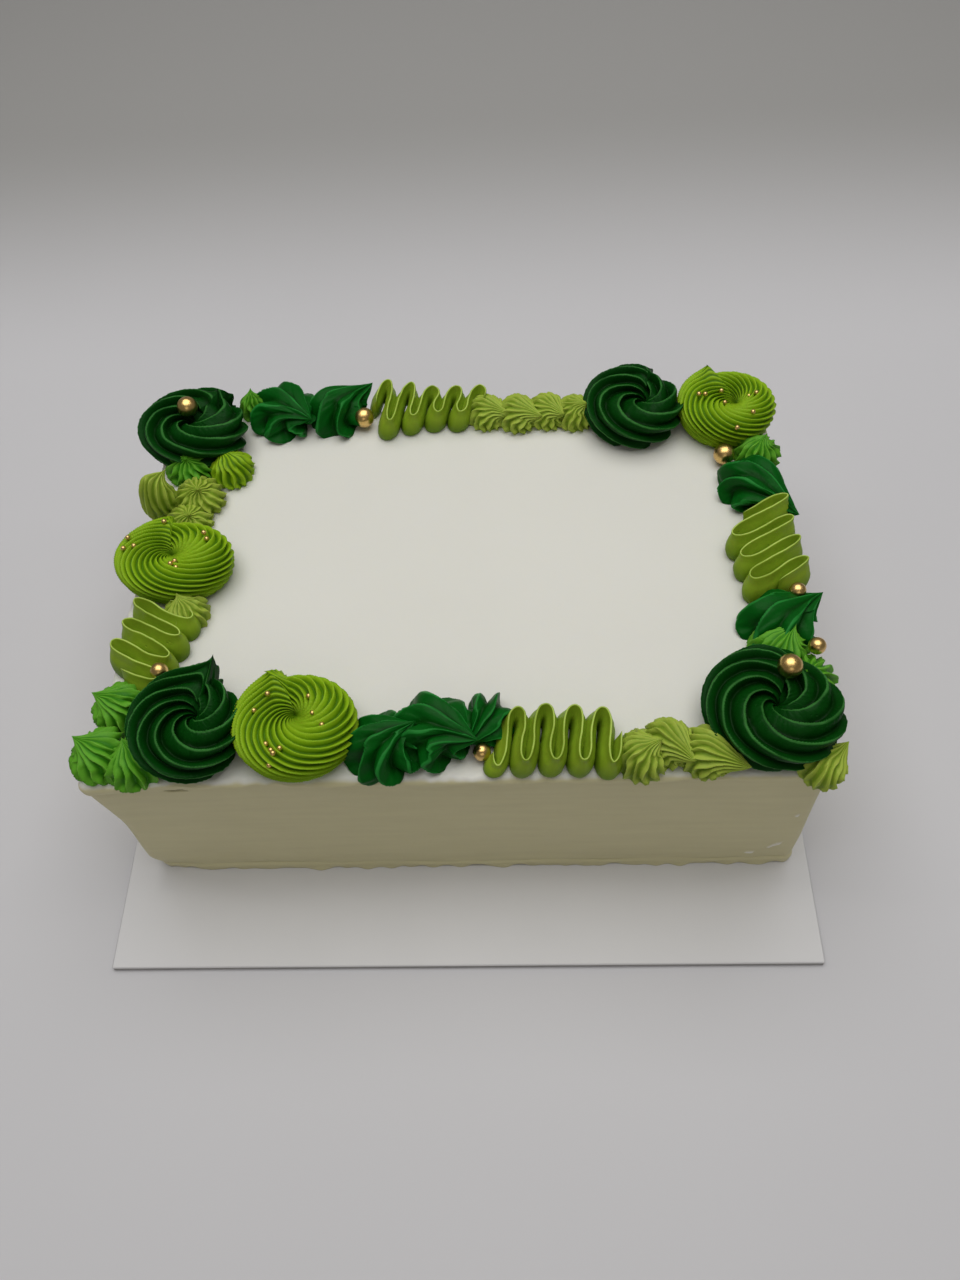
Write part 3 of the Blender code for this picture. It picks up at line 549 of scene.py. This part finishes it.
# sizes in mm, turn in degrees, depth as a share of the radius; drawn above 1 makes a slimmer tip
stars = (
    dict(name="shell_emerald_back_left", finish="emerald_icing", x=-85.5, y=89.2, radius=16.4, height=17.5,
         reach=20.0, turn=-37, ridges=7, depth=0.34),
    dict(name="shell_emerald_back_right", finish="emerald_icing", x=-59.0, y=88.0, radius=14.4, height=17.5,
         reach=22.0, turn=40, ridges=7, depth=0.34),
    dict(name="shell_pale_back_1", finish="pale_green_icing", x=13.5, y=86.0, radius=10.0, height=13.0,
         reach=12.0, turn=-30, ridges=15, depth=0.17),
    dict(name="shell_pale_back_2", finish="pale_green_icing", x=28.2, y=84.5, radius=10.6, height=13.5,
         reach=13.0, turn=-31, ridges=15, depth=0.17),
    dict(name="shell_pale_back_3", finish="pale_green_icing", x=42.0, y=85.5, radius=10.2, height=13.5,
         reach=11.0, turn=-46, ridges=15, depth=0.17),
    dict(name="shell_emerald_right_back", finish="emerald_icing", x=130.5, y=36.0, radius=14.4, height=17.0,
         reach=28.0, turn=-47, ridges=7, depth=0.32),
    dict(name="shell_emerald_right_front", finish="emerald_icing", x=132.5, y=-39.0, radius=15.4, height=16.0,
         reach=22.0, turn=31, ridges=7, depth=0.32),
    dict(name="shell_pale_corner", finish="pale_green_icing", x=139.7, y=-103.2, radius=9.0, height=11.5,
         reach=14.0, turn=40, ridges=14, depth=0.17),
    dict(name="shell_pale_front_2", finish="pale_green_icing", x=82.6, y=-92.5, radius=10.2, height=17.0,
         reach=14.0, turn=-50, ridges=15, depth=0.17),
    dict(name="shell_pale_front_3", finish="pale_green_icing", x=96.5, y=-96.5, radius=10.8, height=15.5,
         reach=18.0, turn=-28, ridges=16, depth=0.17),
    dict(name="shell_emerald_front_3", finish="emerald_icing", x=14.0, y=-81.0, radius=11.0, height=17.0,
         reach=16.0, turn=-122, ridges=7, depth=0.32),
    dict(name="shell_emerald_front_1", finish="emerald_icing", x=-26.5, y=-93.0, radius=15.2, height=19.5,
         reach=14.0, turn=24, ridges=8, depth=0.34),
    dict(name="shell_emerald_front_2", finish="emerald_icing", x=-8.0, y=-86.5, radius=16.4, height=20.5,
         reach=20.0, turn=-24, ridges=7, depth=0.32),
    dict(name="drop_back", finish="mid_green_icing", x=-100.5, y=94.0, radius=7.2, height=13.5, reach=2.0,
         turn=90, ridges=12, depth=0.2),
    dict(name="drop_pale_back", finish="pale_green_icing", x=56.0, y=84.0, radius=10.2, height=13.0,
         reach=5.0, turn=-30, ridges=15, depth=0.18),
    dict(name="drop_right_back", finish="mid_green_icing", x=137.5, y=55.5, radius=10.6, height=12.5,
         reach=3.0, turn=40, ridges=15, depth=0.18),
    dict(name="drop_right_front", finish="mid_green_icing", x=131.0, y=-51.0, radius=12.2, height=14.0,
         reach=8.0, turn=44, ridges=16, depth=0.17),
    dict(name="drop_right_corner", finish="mid_green_icing", x=140.6, y=-65.5, radius=11.0, height=14.0,
         reach=2.5, turn=-150, ridges=14, depth=0.18),
    dict(name="drop_pale_front_1", finish="pale_green_icing", x=72.3, y=-98.0, radius=10.6, height=16.5,
         reach=7.0, turn=15, ridges=15, depth=0.18),
    dict(name="drop_left_front_upper", finish="mid_green_icing", x=-133.0, y=-72.5, radius=11.8, height=14.5,
         reach=10.5, turn=165, ridges=14, depth=0.2),
    dict(name="drop_left_front_corner", finish="mid_green_icing", x=-137.5, y=-93.5, radius=12.0, height=14.0,
         reach=10.5, turn=155, ridges=14, depth=0.2),
    dict(name="drop_left_front_lower", finish="mid_green_icing", x=-123.2, y=-97.0, radius=11.8, height=14.5,
         reach=6.0, turn=121, ridges=14, depth=0.2),
    dict(name="drop_left_back", finish="mid_green_icing", x=-126.0, y=57.0, radius=11.8, height=13.0,
         reach=3.0, turn=-80, ridges=15, depth=0.17),
    dict(name="drop_left_back_inner", finish="lime_icing", x=-106.0, y=54.4, radius=10.2, height=13.0,
         reach=8.0, turn=123, ridges=15, depth=0.17),
    dict(name="drop_pale_left_back_1", finish="pale_green_icing", x=-119.0, y=37.0, radius=11.8, height=13.5,
         reach=3.0, turn=-52, ridges=15, depth=0.18),
    dict(name="drop_pale_left_back_2", finish="pale_green_icing", x=-136.0, y=34.5, radius=8.2, height=28.0,
         reach=9.0, turn=52, drawn=1.7, ridges=13, depth=0.15),
    dict(name="drop_pale_left_back_3", finish="pale_green_icing", x=-121.5, y=24.0, radius=10.4, height=11.0,
         reach=3.0, turn=-49, ridges=14, depth=0.17),
    dict(name="drop_pale_left_front", finish="pale_green_icing", x=-114.5, y=-27.0, radius=9.8, height=13.0,
         reach=4.0, turn=120, ridges=15, depth=0.17),
)


def starTree():
    bench, inlet = startTree(
        "piped star",
        "Radius Height Lying Turn Ridges Ridge_Depth Ridge_Lean Twist Ripple Blunt Drawn Seed",
        "Place", "Columns Rows")
    look = starLook
    columns = inlet["Columns"]
    rows = inlet["Rows"]
    grid, column, row = skinGrid(bench, columns + 1.0, rows + 2.0)
    share = bench.maths("MAXIMUM", row - 1.0, 0.0) / rows
    onFoot = row < 0.5
    angle = column / columns * math.tau * (column < columns - 0.5)
    lying = inlet["Lying"]
    seed = inlet["Seed"]

    def between(number):  # one value along the spine, between the standing and the lying form
        ends = []
        for form in ("dropRows", "shellRows"):
            bends = [(0.2 * step, values[number] / look["scales"][number])
                     for step, values in enumerate(look[form])]
            ends.append(bench.add("ShaderNodeFloatCurve", {"bends": bends}, {"Value": share}))
        return (ends[0] + (ends[1] - ends[0]) * lying) * look["scales"][number]

    along = between(0)
    up = between(1)
    tilt = between(2) * math.radians(1.0)
    wide = bench.maths("MAXIMUM", between(3), 0.0) ** inlet["Drawn"]
    circle = bench.spot(bench.maths("COSINE", angle), bench.maths("SINE", angle), share * 1.5 + seed)
    drift = bench.speckle(circle, 1.3, 2.0) - 0.5
    uneven = bench.speckle(bench.vectors("ADD", circle, (4.0, 1.0, 9.0)), 1.7, 2.0) - 0.5
    tremble = bench.speckle(bench.scaled(circle, 5.0), 1.3, 3.0) - 0.5
    bulk = bench.speckle(bench.vectors("ADD", circle, (11.0, 3.0, 2.0)), 0.8, 1.0) - 0.5
    ripples = bench.maths("SINE", share * 17.0 + angle * 2.0 + drift * 9.0) * inlet["Ripple"]
    phase = inlet["Ridges"] * angle + inlet["Twist"] * share * inlet["Ridges"] + drift * 4.0 + ripples
    crest = crestOf(bench, phase, inlet["Ridge Lean"], inlet["Blunt"])
    fade = bench.eased(share, 0.0, 0.12, 0.55, 1.0)
    ridge = inlet["Ridge Depth"] * (1.0 - crest) * (1.0 + uneven * look["uneven"]) * fade
    ridge = ridge - tremble * crest * look["tremble"]
    radius = inlet["Radius"]
    tall = inlet["Height"] / ((look["dropTop"] + lying * (look["shellTop"] - look["dropTop"])) * radius)
    out = radius * wide * (1.0 - ridge) * (1.06 + bulk * look["bulk"])
    leaned = out * bench.maths("COSINE", angle)
    forward = along * radius + leaned * bench.maths("COSINE", tilt)
    side = out * bench.maths("SINE", angle)
    height = bench.maths("MAXIMUM", (up * radius - leaned * bench.maths("SINE", tilt)) * tall, 0.0)
    turnCos = bench.maths("COSINE", inlet["Turn"])
    turnSin = bench.maths("SINE", inlet["Turn"])
    keep = 1.0 - onFoot
    x = (forward * turnCos - side * turnSin) * keep
    y = (forward * turnSin + side * turnCos) * keep
    z = height - bench.eased(height, 0.0, 1.2, sink, 0.0)
    point = bench.vectors("ADD", bench.spot(x, y, z), inlet["Place"])
    return endTree(bench, placed(bench, grid, point, crest), inlet["Finish"])


starGrower = starTree()
for number, piece in enumerate(stars):
    ridges = {**starRidges, **otherRidges.get(piece["finish"], {})}
    lying = piece["reach"] / piece["radius"] - starLook["dropReach"]
    lying = min(1.0, max(0.0, lying / (starLook["shellReach"] - starLook["dropReach"])))
    pipe(starGrower, piece["name"], piece["finish"], {
        "Lying": lying, "Turn": math.radians(piece["turn"]), "Drawn": piece.get("drawn", 1.0),
        "Ridge Depth": piece["depth"] * ridges.pop("deeper"), "Seed": 5.3 * number + 2.0,
        "Place": (piece["x"], piece["y"], icingTop), "Columns": starLook["columns"], "Rows": starLook["rows"],
        **fromRow(piece, "Radius Height Ridges"), **ridges,
    })
print("drops and shells piped")


ruffleLook = {
    "foldSquare": 1.42,  # how far the folds lean back over one another
    "foldPinch": 0.45,  # share of the thickness that is lost inside a bend
    "endRound": 0.06,  # over how much of its length each end thins out
    "lipShare": 0.06,  # share of the way round the ribbon's section that its lip takes
    "columns": 420,
    "rows": 46,
    # half of the ribbon's thickness and how wide it swings, from its foot to its lip
    "half": ((0.0, 3.2), (0.28, 3.2), (0.55, 2.5), (0.82, 1.0), (1.0, 0.45)),
    "spread": ((0.0, 0.84), (0.25, 0.92), (0.6, 0.93), (1.0, 1.0)),
}
# sizes in mm; startSide is the side of the first bend, and startLow how much of its height that bend lacks
ruffles = (
    dict(name="ruffle_back", start=(-42.0, 87.5), end=(8.0, 87.0), folds=4.5, startSide=1.0, startLow=0.0,
         width=8.0, height=12.5, lean=2.5, slant=1.5, uneven=-0.4, wander=2.6, firstWider=1.75),
    dict(name="ruffle_right", start=(131.0, 15.0), end=(135.5, -25.0), folds=3.5, startSide=1.0, startLow=0.0,
         width=12.5, height=13.0, lean=-2.5, slant=-5.5, uneven=0.25, wander=3.4, firstWider=1.1),
    dict(name="ruffle_front", start=(15.0, -91.0), end=(64.0, -92.2), folds=4.5, startSide=-1.0, startLow=0.4,
         width=11.0, height=13.5, lean=2.0, slant=1.0, uneven=0.35, wander=3.0, firstWider=1.0),
    dict(name="ruffle_left", start=(-121.0, -27.0), end=(-131.0, -63.0), folds=3.5, startSide=1.0,
         startLow=0.2, width=12.5, height=13.0, lean=-3.0, slant=2.5, uneven=-0.1, wander=2.2, firstWider=1.0),
)


def ruffleTree():
    bench, inlet = startTree(
        "piped ruffle",
        "Length Folds Width Height Lean Slant Uneven Wander First_Wider Start_Side Start_Low Seed",
        "Line Place", "Columns Rows")
    look = ruffleLook
    columns = inlet["Columns"]
    rows = inlet["Rows"]
    grid, column, row = skinGrid(bench, columns + 1.0, rows + 1.0)
    part = column / columns
    # once round the ribbon's section: up its left side, over the lip, down its right side and back below
    loop = row / rows * (row < rows - 0.5)
    rise = 1.0 - bench.maths("ABSOLUTE", loop * 2.0 - 1.0)
    level = bench.maths("SINE", rise * (math.pi / 2.0))
    fromLip = bench.maths("MINIMUM", bench.maths("ABSOLUTE", loop - 0.5) / look["lipShare"], 1.0)
    lip = bench.maths("COSINE", fromLip * math.pi / 2.0)
    sideways = bench.maths("MAXIMUM", bench.maths("MINIMUM", (0.5 - loop) / look["lipShare"], 1.0), -1.0)
    sideways = bench.maths("SINE", sideways * math.pi / 2.0)
    phase = part * inlet["Folds"] * math.tau
    seed = inlet["Seed"]
    stray = bench.speckle(bench.spot(phase * 0.16, seed + 2.0, 0.0), 1.0, 1.0) - 0.5
    phase = phase + stray * inlet["Wander"]
    drift = bench.speckle(bench.spot(phase * 0.35, seed, 0.0), 1.0, 2.0) - 0.5
    flutter = bench.speckle(bench.spot(phase * 0.55, seed + 5.0, level * 0.6), 1.0, 2.0) - 0.5
    tremble = bench.speckle(bench.spot(phase * 4.0, seed + 9.0, level * 3.0), 1.0, 3.0) - 0.5
    pitch = inlet["Length"] / inlet["Folds"]

    def path(at):  # how far along its line and how far to the side the ribbon is, and how deep in a bend
        wave = bench.maths("SINE", at) * inlet["Start Side"]
        wider = 1.0 + (inlet["First Wider"] - 1.0) * bench.maths("MAXIMUM", 1.0 - at / 15.0, 0.0)
        run = at - bench.maths("SINE", at * 2.0) * (look["foldSquare"] / 2.0)
        run = run + bench.maths("SINE", at * 4.0) * 0.03
        run = (run + (bench.maths("COSINE", at) - 1.0) * inlet["Uneven"]) * pitch / math.tau
        run = run + inlet["Slant"] * wave
        swing = wave - bench.maths("SINE", at * 3.0) * inlet["Start Side"] * 0.05
        return run, inlet["Width"] * wider * swing, wave

    run, swing, wave = path(phase)
    runOn, swingOn, _ = path(phase + 0.02)
    stepRun = runOn - run
    stepSwing = swingOn - swing
    stepLong = bench.maths("SQRT", stepRun * stepRun + stepSwing * stepSwing)
    aheadRun = stepRun / stepLong
    aheadSwing = stepSwing / stepLong

    def risen(name, scale):  # one value from foot to lip
        bends = [(x, y / scale) for x, y in look[name]]
        return bench.add("ShaderNodeFloatCurve", {"bends": bends}, {"Value": level}) * scale

    thick = risen("half", 4.0)
    spread = risen("spread", 2.0)
    bend = bench.maths("ABSOLUTE", wave) ** 3.0
    innerSide = (sideways * wave) < 0.0
    half = thick * (1.0 - bend * innerSide * look["foldPinch"]) * (1.0 + tremble * 0.25)
    fromEnd = bench.maths("MINIMUM", part, 1.0 - part) / (look["endRound"] / inlet["Folds"] * 3.0)
    fromEnd = bench.maths("MINIMUM", fromEnd, 1.0)
    endThin = bench.maths("SQRT", bench.maths("MAXIMUM", fromEnd * (2.0 - fromEnd), 0.0))
    off = half * sideways * endThin
    low = bench.eased(phase, math.pi * 0.8, math.pi * 1.3, 1.0, 0.0) * inlet["Start Low"]
    tall = inlet["Height"] * (1.0 + drift * 0.16) * (0.86 + endThin * 0.14) * (1.0 - low)
    shift = run + inlet["Lean"] * level * (1.0 + flutter * 1.2) - aheadSwing * off
    swung = swing * spread * (1.0 + drift * 0.30) + aheadRun * off + flutter * level * 1.2
    z = tall * level + lip * thick * 0.5 + tremble * level * 0.35
    z = z - bench.eased(level, 0.0, 0.12, sink, 0.0)
    lineX, lineY, _ = bench.split(inlet["Line"])
    x = lineX * shift - lineY * swung
    y = lineY * shift + lineX * swung
    point = bench.vectors("ADD", bench.spot(x, y, z), inlet["Place"])
    # painted shade and highlight: the stored value rises from the ribbon's foot up its sides and on the lip,
    # so the icing paints the foot in the darker valley colour and the lip in the lighter edge colour
    crest = bench.eased(level, 0.0, 1.0, 0.1, 0.62) + bench.eased(lip, 0.2, 0.9, 0.0, 0.4)
    return endTree(bench, placed(bench, grid, point, crest), inlet["Finish"])


ruffleGrower = ruffleTree()
for number, piece in enumerate(ruffles):
    line = Vector(piece["end"]) - Vector(piece["start"])
    pipe(ruffleGrower, piece["name"], "olive_icing", {
        "Line": (*line.normalized(), 0.0), "Length": line.length, "Place": (*piece["start"], icingTop),
        "Seed": 3.7 * number, "Columns": ruffleLook["columns"], "Rows": ruffleLook["rows"],
        **fromRow(piece, "Folds Width Height Lean Slant Uneven Wander First_Wider Start_Side Start_Low"),
    })
print("ruffles piped")


pearlFoot = 86.8  # where a pearl's own height starts, in mm
pearls = (
    dict(name="pearl_dark_back_left", x=-127.6, y=81.5, up=17.5, across=9.6),
    dict(name="pearl_emerald_back", x=-45.5, y=82.9, up=5.6, across=9.6),
    dict(name="pearl_right_back", x=121.9, y=53.6, up=4.9, across=9.6),
    dict(name="pearl_emerald_right", x=141.5, y=-26.3, up=9.0, across=7.0),
    dict(name="pearl_right_corner", x=143.7, y=-55.4, up=12.5, across=7.0),
    dict(name="pearl_dark_front_right", x=129.7, y=-68.6, up=19.5, across=9.6),
    dict(name="pearl_ruffle_front", x=11.7, y=-95.1, up=4.0, across=7.0),
    dict(name="pearl_ruffle_left", x=-117.5, y=-60.9, up=12.5, across=7.0),
)


def pearlTree():
    bench, inlet = startTree("sugar pearl", "Size Seed", "Place")
    ball = bench.add("GeometryNodeMeshIcoSphere", None, {"Radius": inlet["Size"] / 2.0, "Subdivisions": 6})
    here = bench.add("GeometryNodeInputPosition")
    off = bench.vectors("ADD", bench.scaled(here, 260.0), bench.spot(inlet["Seed"], 0.0, 0.0))
    dent = (bench.speckle(off, 1.0, 1.0) - 0.5) * inlet["Size"] * 0.022  # never quite round
    way = bench.vectors("NORMALIZE", here)
    moved = bench.vectors("ADD", bench.vectors("ADD", here, bench.scaled(way, dent)), inlet["Place"])
    ball = bench.add("GeometryNodeSetPosition", None, {"Geometry": ball, "Position": moved})
    return endTree(bench, ball, inlet["Finish"])


pearlGrower = pearlTree()
for number, piece in enumerate(pearls):
    place = Vector((piece["x"], piece["y"], pearlFoot + piece["up"])) * mm
    item = grow(pearlGrower, piece["name"] + "_gold", "gold",
                {"Size": piece["across"] * mm, "Place": place, "Seed": 3.1 * number})
    faceOutwards(item)
    handOver(item, piece["name"])
print("pearls set")


cakeSizes = {
    "width": 286.0, "depth": 200.0, "height": 83.2, "middle": (1.8, -6.7), "foot": 3.25,
    "corner": 4.0, "topRound": 3.2, "step": 1.25,
    "lipOut": 1.15,  # the icing's hanging lip round the top
    "lipHangs": 4.2,
    "lipCornerOut": 6.0,  # the front left corner stands out above and draws in below
    "footCornerIn": 5.0,
    "cornerReach": 30.0,
    "lipTall": 42.0,
    "footTall": 14.0,
    "footOut": 0.8,
    "footRagged": 1.7,
    "leanBack": 3.6,  # of the front wall's upper edge
    "slit": (-109.6, 79.2, 4.2, 0.65),  # x, height, half length and half height
    # x, height, half length, half height and turn of each fleck
    "flecks": ((124.6, 14.8, 2.3, 1.1, 0.35), (134.0, 22.8, 4.8, 0.8, 0.8), (138.0, 50.0, 1.0, 0.9, 0.0)),
    # the flat rings that close the top, as shares of its outline
    "topRings": (0.995, 0.985, 0.97, 0.95, 0.92, 0.88, 0.83, 0.77, 0.70, 0.62, 0.53, 0.44, 0.35, 0.26, 0.17,
                 0.08),
}


def smooth(value):
    value = min(1.0, max(0.0, value))
    return value * value * (3.0 - 2.0 * value)


def ripple(*place):
    return noise.noise(Vector(place))


def cakeOutline(sizes):
    # spots round the cake, each with the way outwards
    halfWidth = sizes["width"] / 2.0 - sizes["corner"]
    halfDepth = sizes["depth"] / 2.0 - sizes["corner"]
    ring = []
    corners = ((1, -1), (1, 1), (-1, 1), (-1, -1))
    for side, (signX, signY) in enumerate(corners):
        for step in range(8):
            turn = math.radians(-90.0 + 90.0 * side + 90.0 * step / 8.0)
            way = Vector((math.cos(turn), math.sin(turn)))
            ring.append((Vector((signX * halfWidth, signY * halfDepth)), way))
        after = corners[(side + 1) % 4]
        ahead = Vector((after[0] * halfWidth, after[1] * halfDepth))
        start = Vector((signX * halfWidth, signY * halfDepth))
        way = Vector((math.cos(math.radians(90.0 * side)), math.sin(math.radians(90.0 * side))))
        count = round((ahead - start).length / sizes["step"])
        for step in range(count):
            ring.append((start.lerp(ahead, step / count), way))
    return ring


def cakePoint(sizes, start, way, height):
    corner = sizes["corner"]
    tall = sizes["height"]
    x, y = start + way * corner
    far = math.hypot(x + sizes["width"] / 2.0, y + sizes["depth"] / 2.0)
    near = smooth(1.0 - far / sizes["cornerReach"])
    lip = smooth(1.0 - (tall - height) / sizes["lipTall"])
    foot = smooth(1.0 - height / sizes["footTall"])
    push = (sizes["lipCornerOut"] * lip - sizes["footCornerIn"] * foot) * near * math.sqrt(0.5)
    # the lip hangs down unevenly, and the foot is ragged
    drop = sizes["lipHangs"] + 3.0 * ripple(x / 21.0, y / 21.0, 3.0) + 1.6 * ripple(x / 6.0, y / 6.0, 8.0)
    out = sizes["lipOut"] * smooth(height - tall + drop + 0.5)
    back = (sizes["leanBack"] * smooth((height - 8.0) / 80.0) - 0.9) * smooth((-30.0 - y) / 66.0)
    out += 0.25 * ripple(x / 18.0, y / 18.0, height / 22.0) + 0.10 * ripple(x / 5.0, y / 5.0, height / 30.0)
    out += sizes["footOut"] * smooth((7.0 - height) / 4.5)
    out += sizes["footRagged"] * smooth(1.0 - height / 2.6) * ripple(x / 7.0, y / 7.0, 1.0)
    # a scraped line runs above the foot and fades in places
    line = 5.0 + 1.6 * ripple(x / 30.0, y / 30.0, 17.0)
    deep = max(0.0, 0.5 + 1.4 * ripple(x / 25.0, y / 25.0, 29.0))
    out -= 0.8 * deep * math.exp(-((height - line) / 0.55) ** 2)
    uneven = 0.7 * ripple(x / 14.0, y / 14.0, 5.0) + 0.5 * ripple(x / 4.0, y / 4.0, 2.0)
    bend = sizes["topRound"] * (1.0 + uneven)
    over = bend - (tall - height)
    if over > 0.0:
        out -= bend - math.sqrt(max(0.0, bend ** 2 - over ** 2))
    return Vector((x - push * 1.25 + way.x * out, y + back - push * 0.4 + way.y * out, height))


def buildCake():
    sizes = cakeSizes
    tall = sizes["height"]
    outline = cakeOutline(sizes)
    heights = [0.0, 0.25, 0.6, 1.0, 1.5, 2.0, 2.6, 3.2, 3.8, 4.4, 5.0, 5.6, 6.2, 7.0, 8.0]
    heights += [8.0 + (tall - 20.0) * step / 34.0 for step in range(1, 35)]
    heights += [tall - 12.0 + 0.5 * step for step in range(1, 20)]
    heights += [tall - 2.4 + 0.2 * step for step in range(1, 12)] + [tall - 0.05, tall]
    rings = [[cakePoint(sizes, start, way, height) for start, way in outline] for height in heights]
    skin = bmesh.new()
    pale = skin.verts.layers.float.new("blemish")
    dark = skin.verts.layers.float.new("slit")
    middle = Vector(sizes["middle"])

    def corner(point):
        spot = Vector((middle.x + point.x, middle.y + point.y, point.z + sizes["foot"]))
        return skin.verts.new(spot * mm)

    made = [[corner(point) for point in ring] for ring in rings]
    edge = rings[-1]
    for share in sizes["topRings"]:
        flat = []
        for point in edge:
            x = point.x * share
            y = point.y * share
            wave = 0.16 * ripple(x / 45.0, y / 45.0, 5.0) + 0.04 * ripple(x / 14.0, y / 14.0, 9.0)
            flat.append(Vector((x, y, tall + wave * smooth((1.0 - share) / 0.05))))
        made.append([corner(point) for point in flat])
    for lower, upper in zip(made, made[1:]):
        for spot in range(len(lower)):
            skin.faces.new((lower[spot - 1], lower[spot], upper[spot], upper[spot - 1]))
    top = corner(Vector((0.0, 0.0, tall)))
    base = corner(Vector((0.0, 0.0, 0.0)))
    for spot in range(len(outline)):
        skin.faces.new((made[-1][spot - 1], made[-1][spot], top))
        skin.faces.new((made[0][spot], made[0][spot - 1], base))
    front = (middle.y - sizes["depth"] / 2.0 + 4.0) * mm
    slitX, slitUp, slitLong, slitTall = sizes["slit"]
    for vert in skin.verts:
        if vert.co.y < front:
            x = vert.co.x / mm - slitX
            z = vert.co.z / mm - slitUp
            # the slit is pressed 1.6 mm into the wall, and its mask goes to the slit layer, where the icing
            # paints the crack's painted shade
            inSlit = smooth(1.4 - (x / slitLong) ** 2 - (z / slitTall - 0.5 * math.sin(x)) ** 2)
            vert[dark] = inSlit
            vert.co.y += 1.6 * inSlit * mm
            for spotX, spotZ, halfLong, halfTall, turn in sizes["flecks"]:
                x = vert.co.x / mm - spotX
                z = vert.co.z / mm - spotZ
                onX = (x * math.cos(turn) + z * math.sin(turn)) / halfLong
                onZ = (z * math.cos(turn) - x * math.sin(turn)) / halfTall
                raised = smooth(1.3 - onX ** 2 - onZ ** 2)
                if raised > vert[pale]:
                    vert[pale] = raised
                    vert.co.y -= 0.8 * raised * mm
    mesh = bpy.data.meshes.new("cake_icing")
    skin.to_mesh(mesh)
    skin.free()
    mesh.shade_smooth()
    mesh.materials.append(finishes["white_icing"])
    handOver(newItem("cake_icing", mesh), "cake")


buildCake()
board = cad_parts["board"]
board.material_slots[0].material = finishes["white_board"]
print("cake iced and set on its board")


studio = {
    "floorSize": 3.0,
    "skyColour": (1.0, 0.97, 0.92, 1.0),
    "skyStrength": 0.15,
}
lamps = (
    dict(name="key", place=(0.0, 0.25, 1.35), aim=(0.0, 0.0, 0.05), wide=1.5, tall=1.5, watts=14.7,
         colour=(1.0, 0.995, 0.98)),
    *(dict(name="strip", place=(side, 0.05, 1.0), aim=(0.0, 0.0, 0.1), wide=0.06, tall=0.9, watts=0.5,
           colour=(1.0, 0.98, 0.94)) for side in (-0.35, 0.35)),
    dict(name="fill", place=(0.1, -1.3, 0.9), aim=(0.0, 0.0, 0.05), wide=0.9, tall=0.6, watts=1.3,
         colour=(1.0, 0.95, 0.85)),
)
cameraView = {  # worked out from the board's front edge and the cake's top corners
    "yaw": -4.49, "pitch": 57.25, "roll": -4.98, "lens": 28.86, "place": (0.02853, -0.27151, 0.44564),
}


def buildFloor():
    finish, bench, feed, place = newFinish("pale studio floor", {"Specular IOR Level": 0.2})
    cloud = bench.speckle(place, 3.0, 2.0)
    grain = bench.speckle(place, 300.0, 2.0)
    near = bench.blend(cloud, (0.595, 0.590, 0.615, 1.0), (0.635, 0.630, 0.655, 1.0))
    back = bench.eased(bench.split(place)[1], 0.22, 0.50)  # painted shade: the floor is painted darker from 0.22 m to 0.50 m behind the cake, where less light falls
    feed("Base Color", bench.blend(back, near, (0.36, 0.355, 0.35, 1.0)))
    feed("Roughness", 0.62 + grain * 0.1)
    half = studio["floorSize"]
    mesh = bpy.data.meshes.new("floor")
    mesh.from_pydata([(-half, -half, 0.0), (half, -half, 0.0), (half, half, 0.0), (-half, half, 0.0)], [],
                     [(0, 1, 2, 3)])
    mesh.materials.append(finish)
    newItem("floor", mesh)


def softbox(name, place, aim, wide, tall, watts, colour):
    lamp = bpy.data.lights.new(name, "AREA")
    lamp.shape = "RECTANGLE"
    lamp.size = wide
    lamp.size_y = tall
    lamp.energy = watts
    lamp.color = colour
    item = newItem(name, lamp)
    item.location = place
    item.rotation_euler = (Vector(aim) - Vector(place)).to_track_quat("-Z", "Y").to_euler()
    item.visible_camera = False


def placeCamera():
    yaw, pitch, roll = (math.radians(cameraView[key]) for key in ("yaw", "pitch", "roll"))
    ahead = Vector((math.sin(yaw) * math.cos(pitch), math.cos(yaw) * math.cos(pitch), -math.sin(pitch)))
    right = Vector((math.cos(yaw), -math.sin(yaw), 0.0))
    up = right.cross(ahead)
    rolledRight = right * math.cos(roll) + up * math.sin(roll)
    rolledUp = up * math.cos(roll) - right * math.sin(roll)
    lens = bpy.data.cameras.new("camera")
    lens.lens = cameraView["lens"]
    lens.sensor_width = 36.0
    lens.sensor_fit = "AUTO"
    lens.clip_start = 0.01
    turn = Matrix((rolledRight, rolledUp, -ahead)).transposed().to_4x4()
    item = newItem("camera", lens)
    item.matrix_world = Matrix.Translation(cameraView["place"]) @ turn
    bpy.context.scene.camera = item


buildFloor()
for lamp in lamps:
    softbox(**lamp)
world = bpy.data.worlds.new("studio")
world.use_nodes = True
sky = world.node_tree.nodes["Background"]
sky.inputs["Color"].default_value = studio["skyColour"]
sky.inputs["Strength"].default_value = studio["skyStrength"]
bpy.context.scene.world = world
bpy.context.scene.view_settings.view_transform = "Standard"
placeCamera()
print("floor, light and camera set")
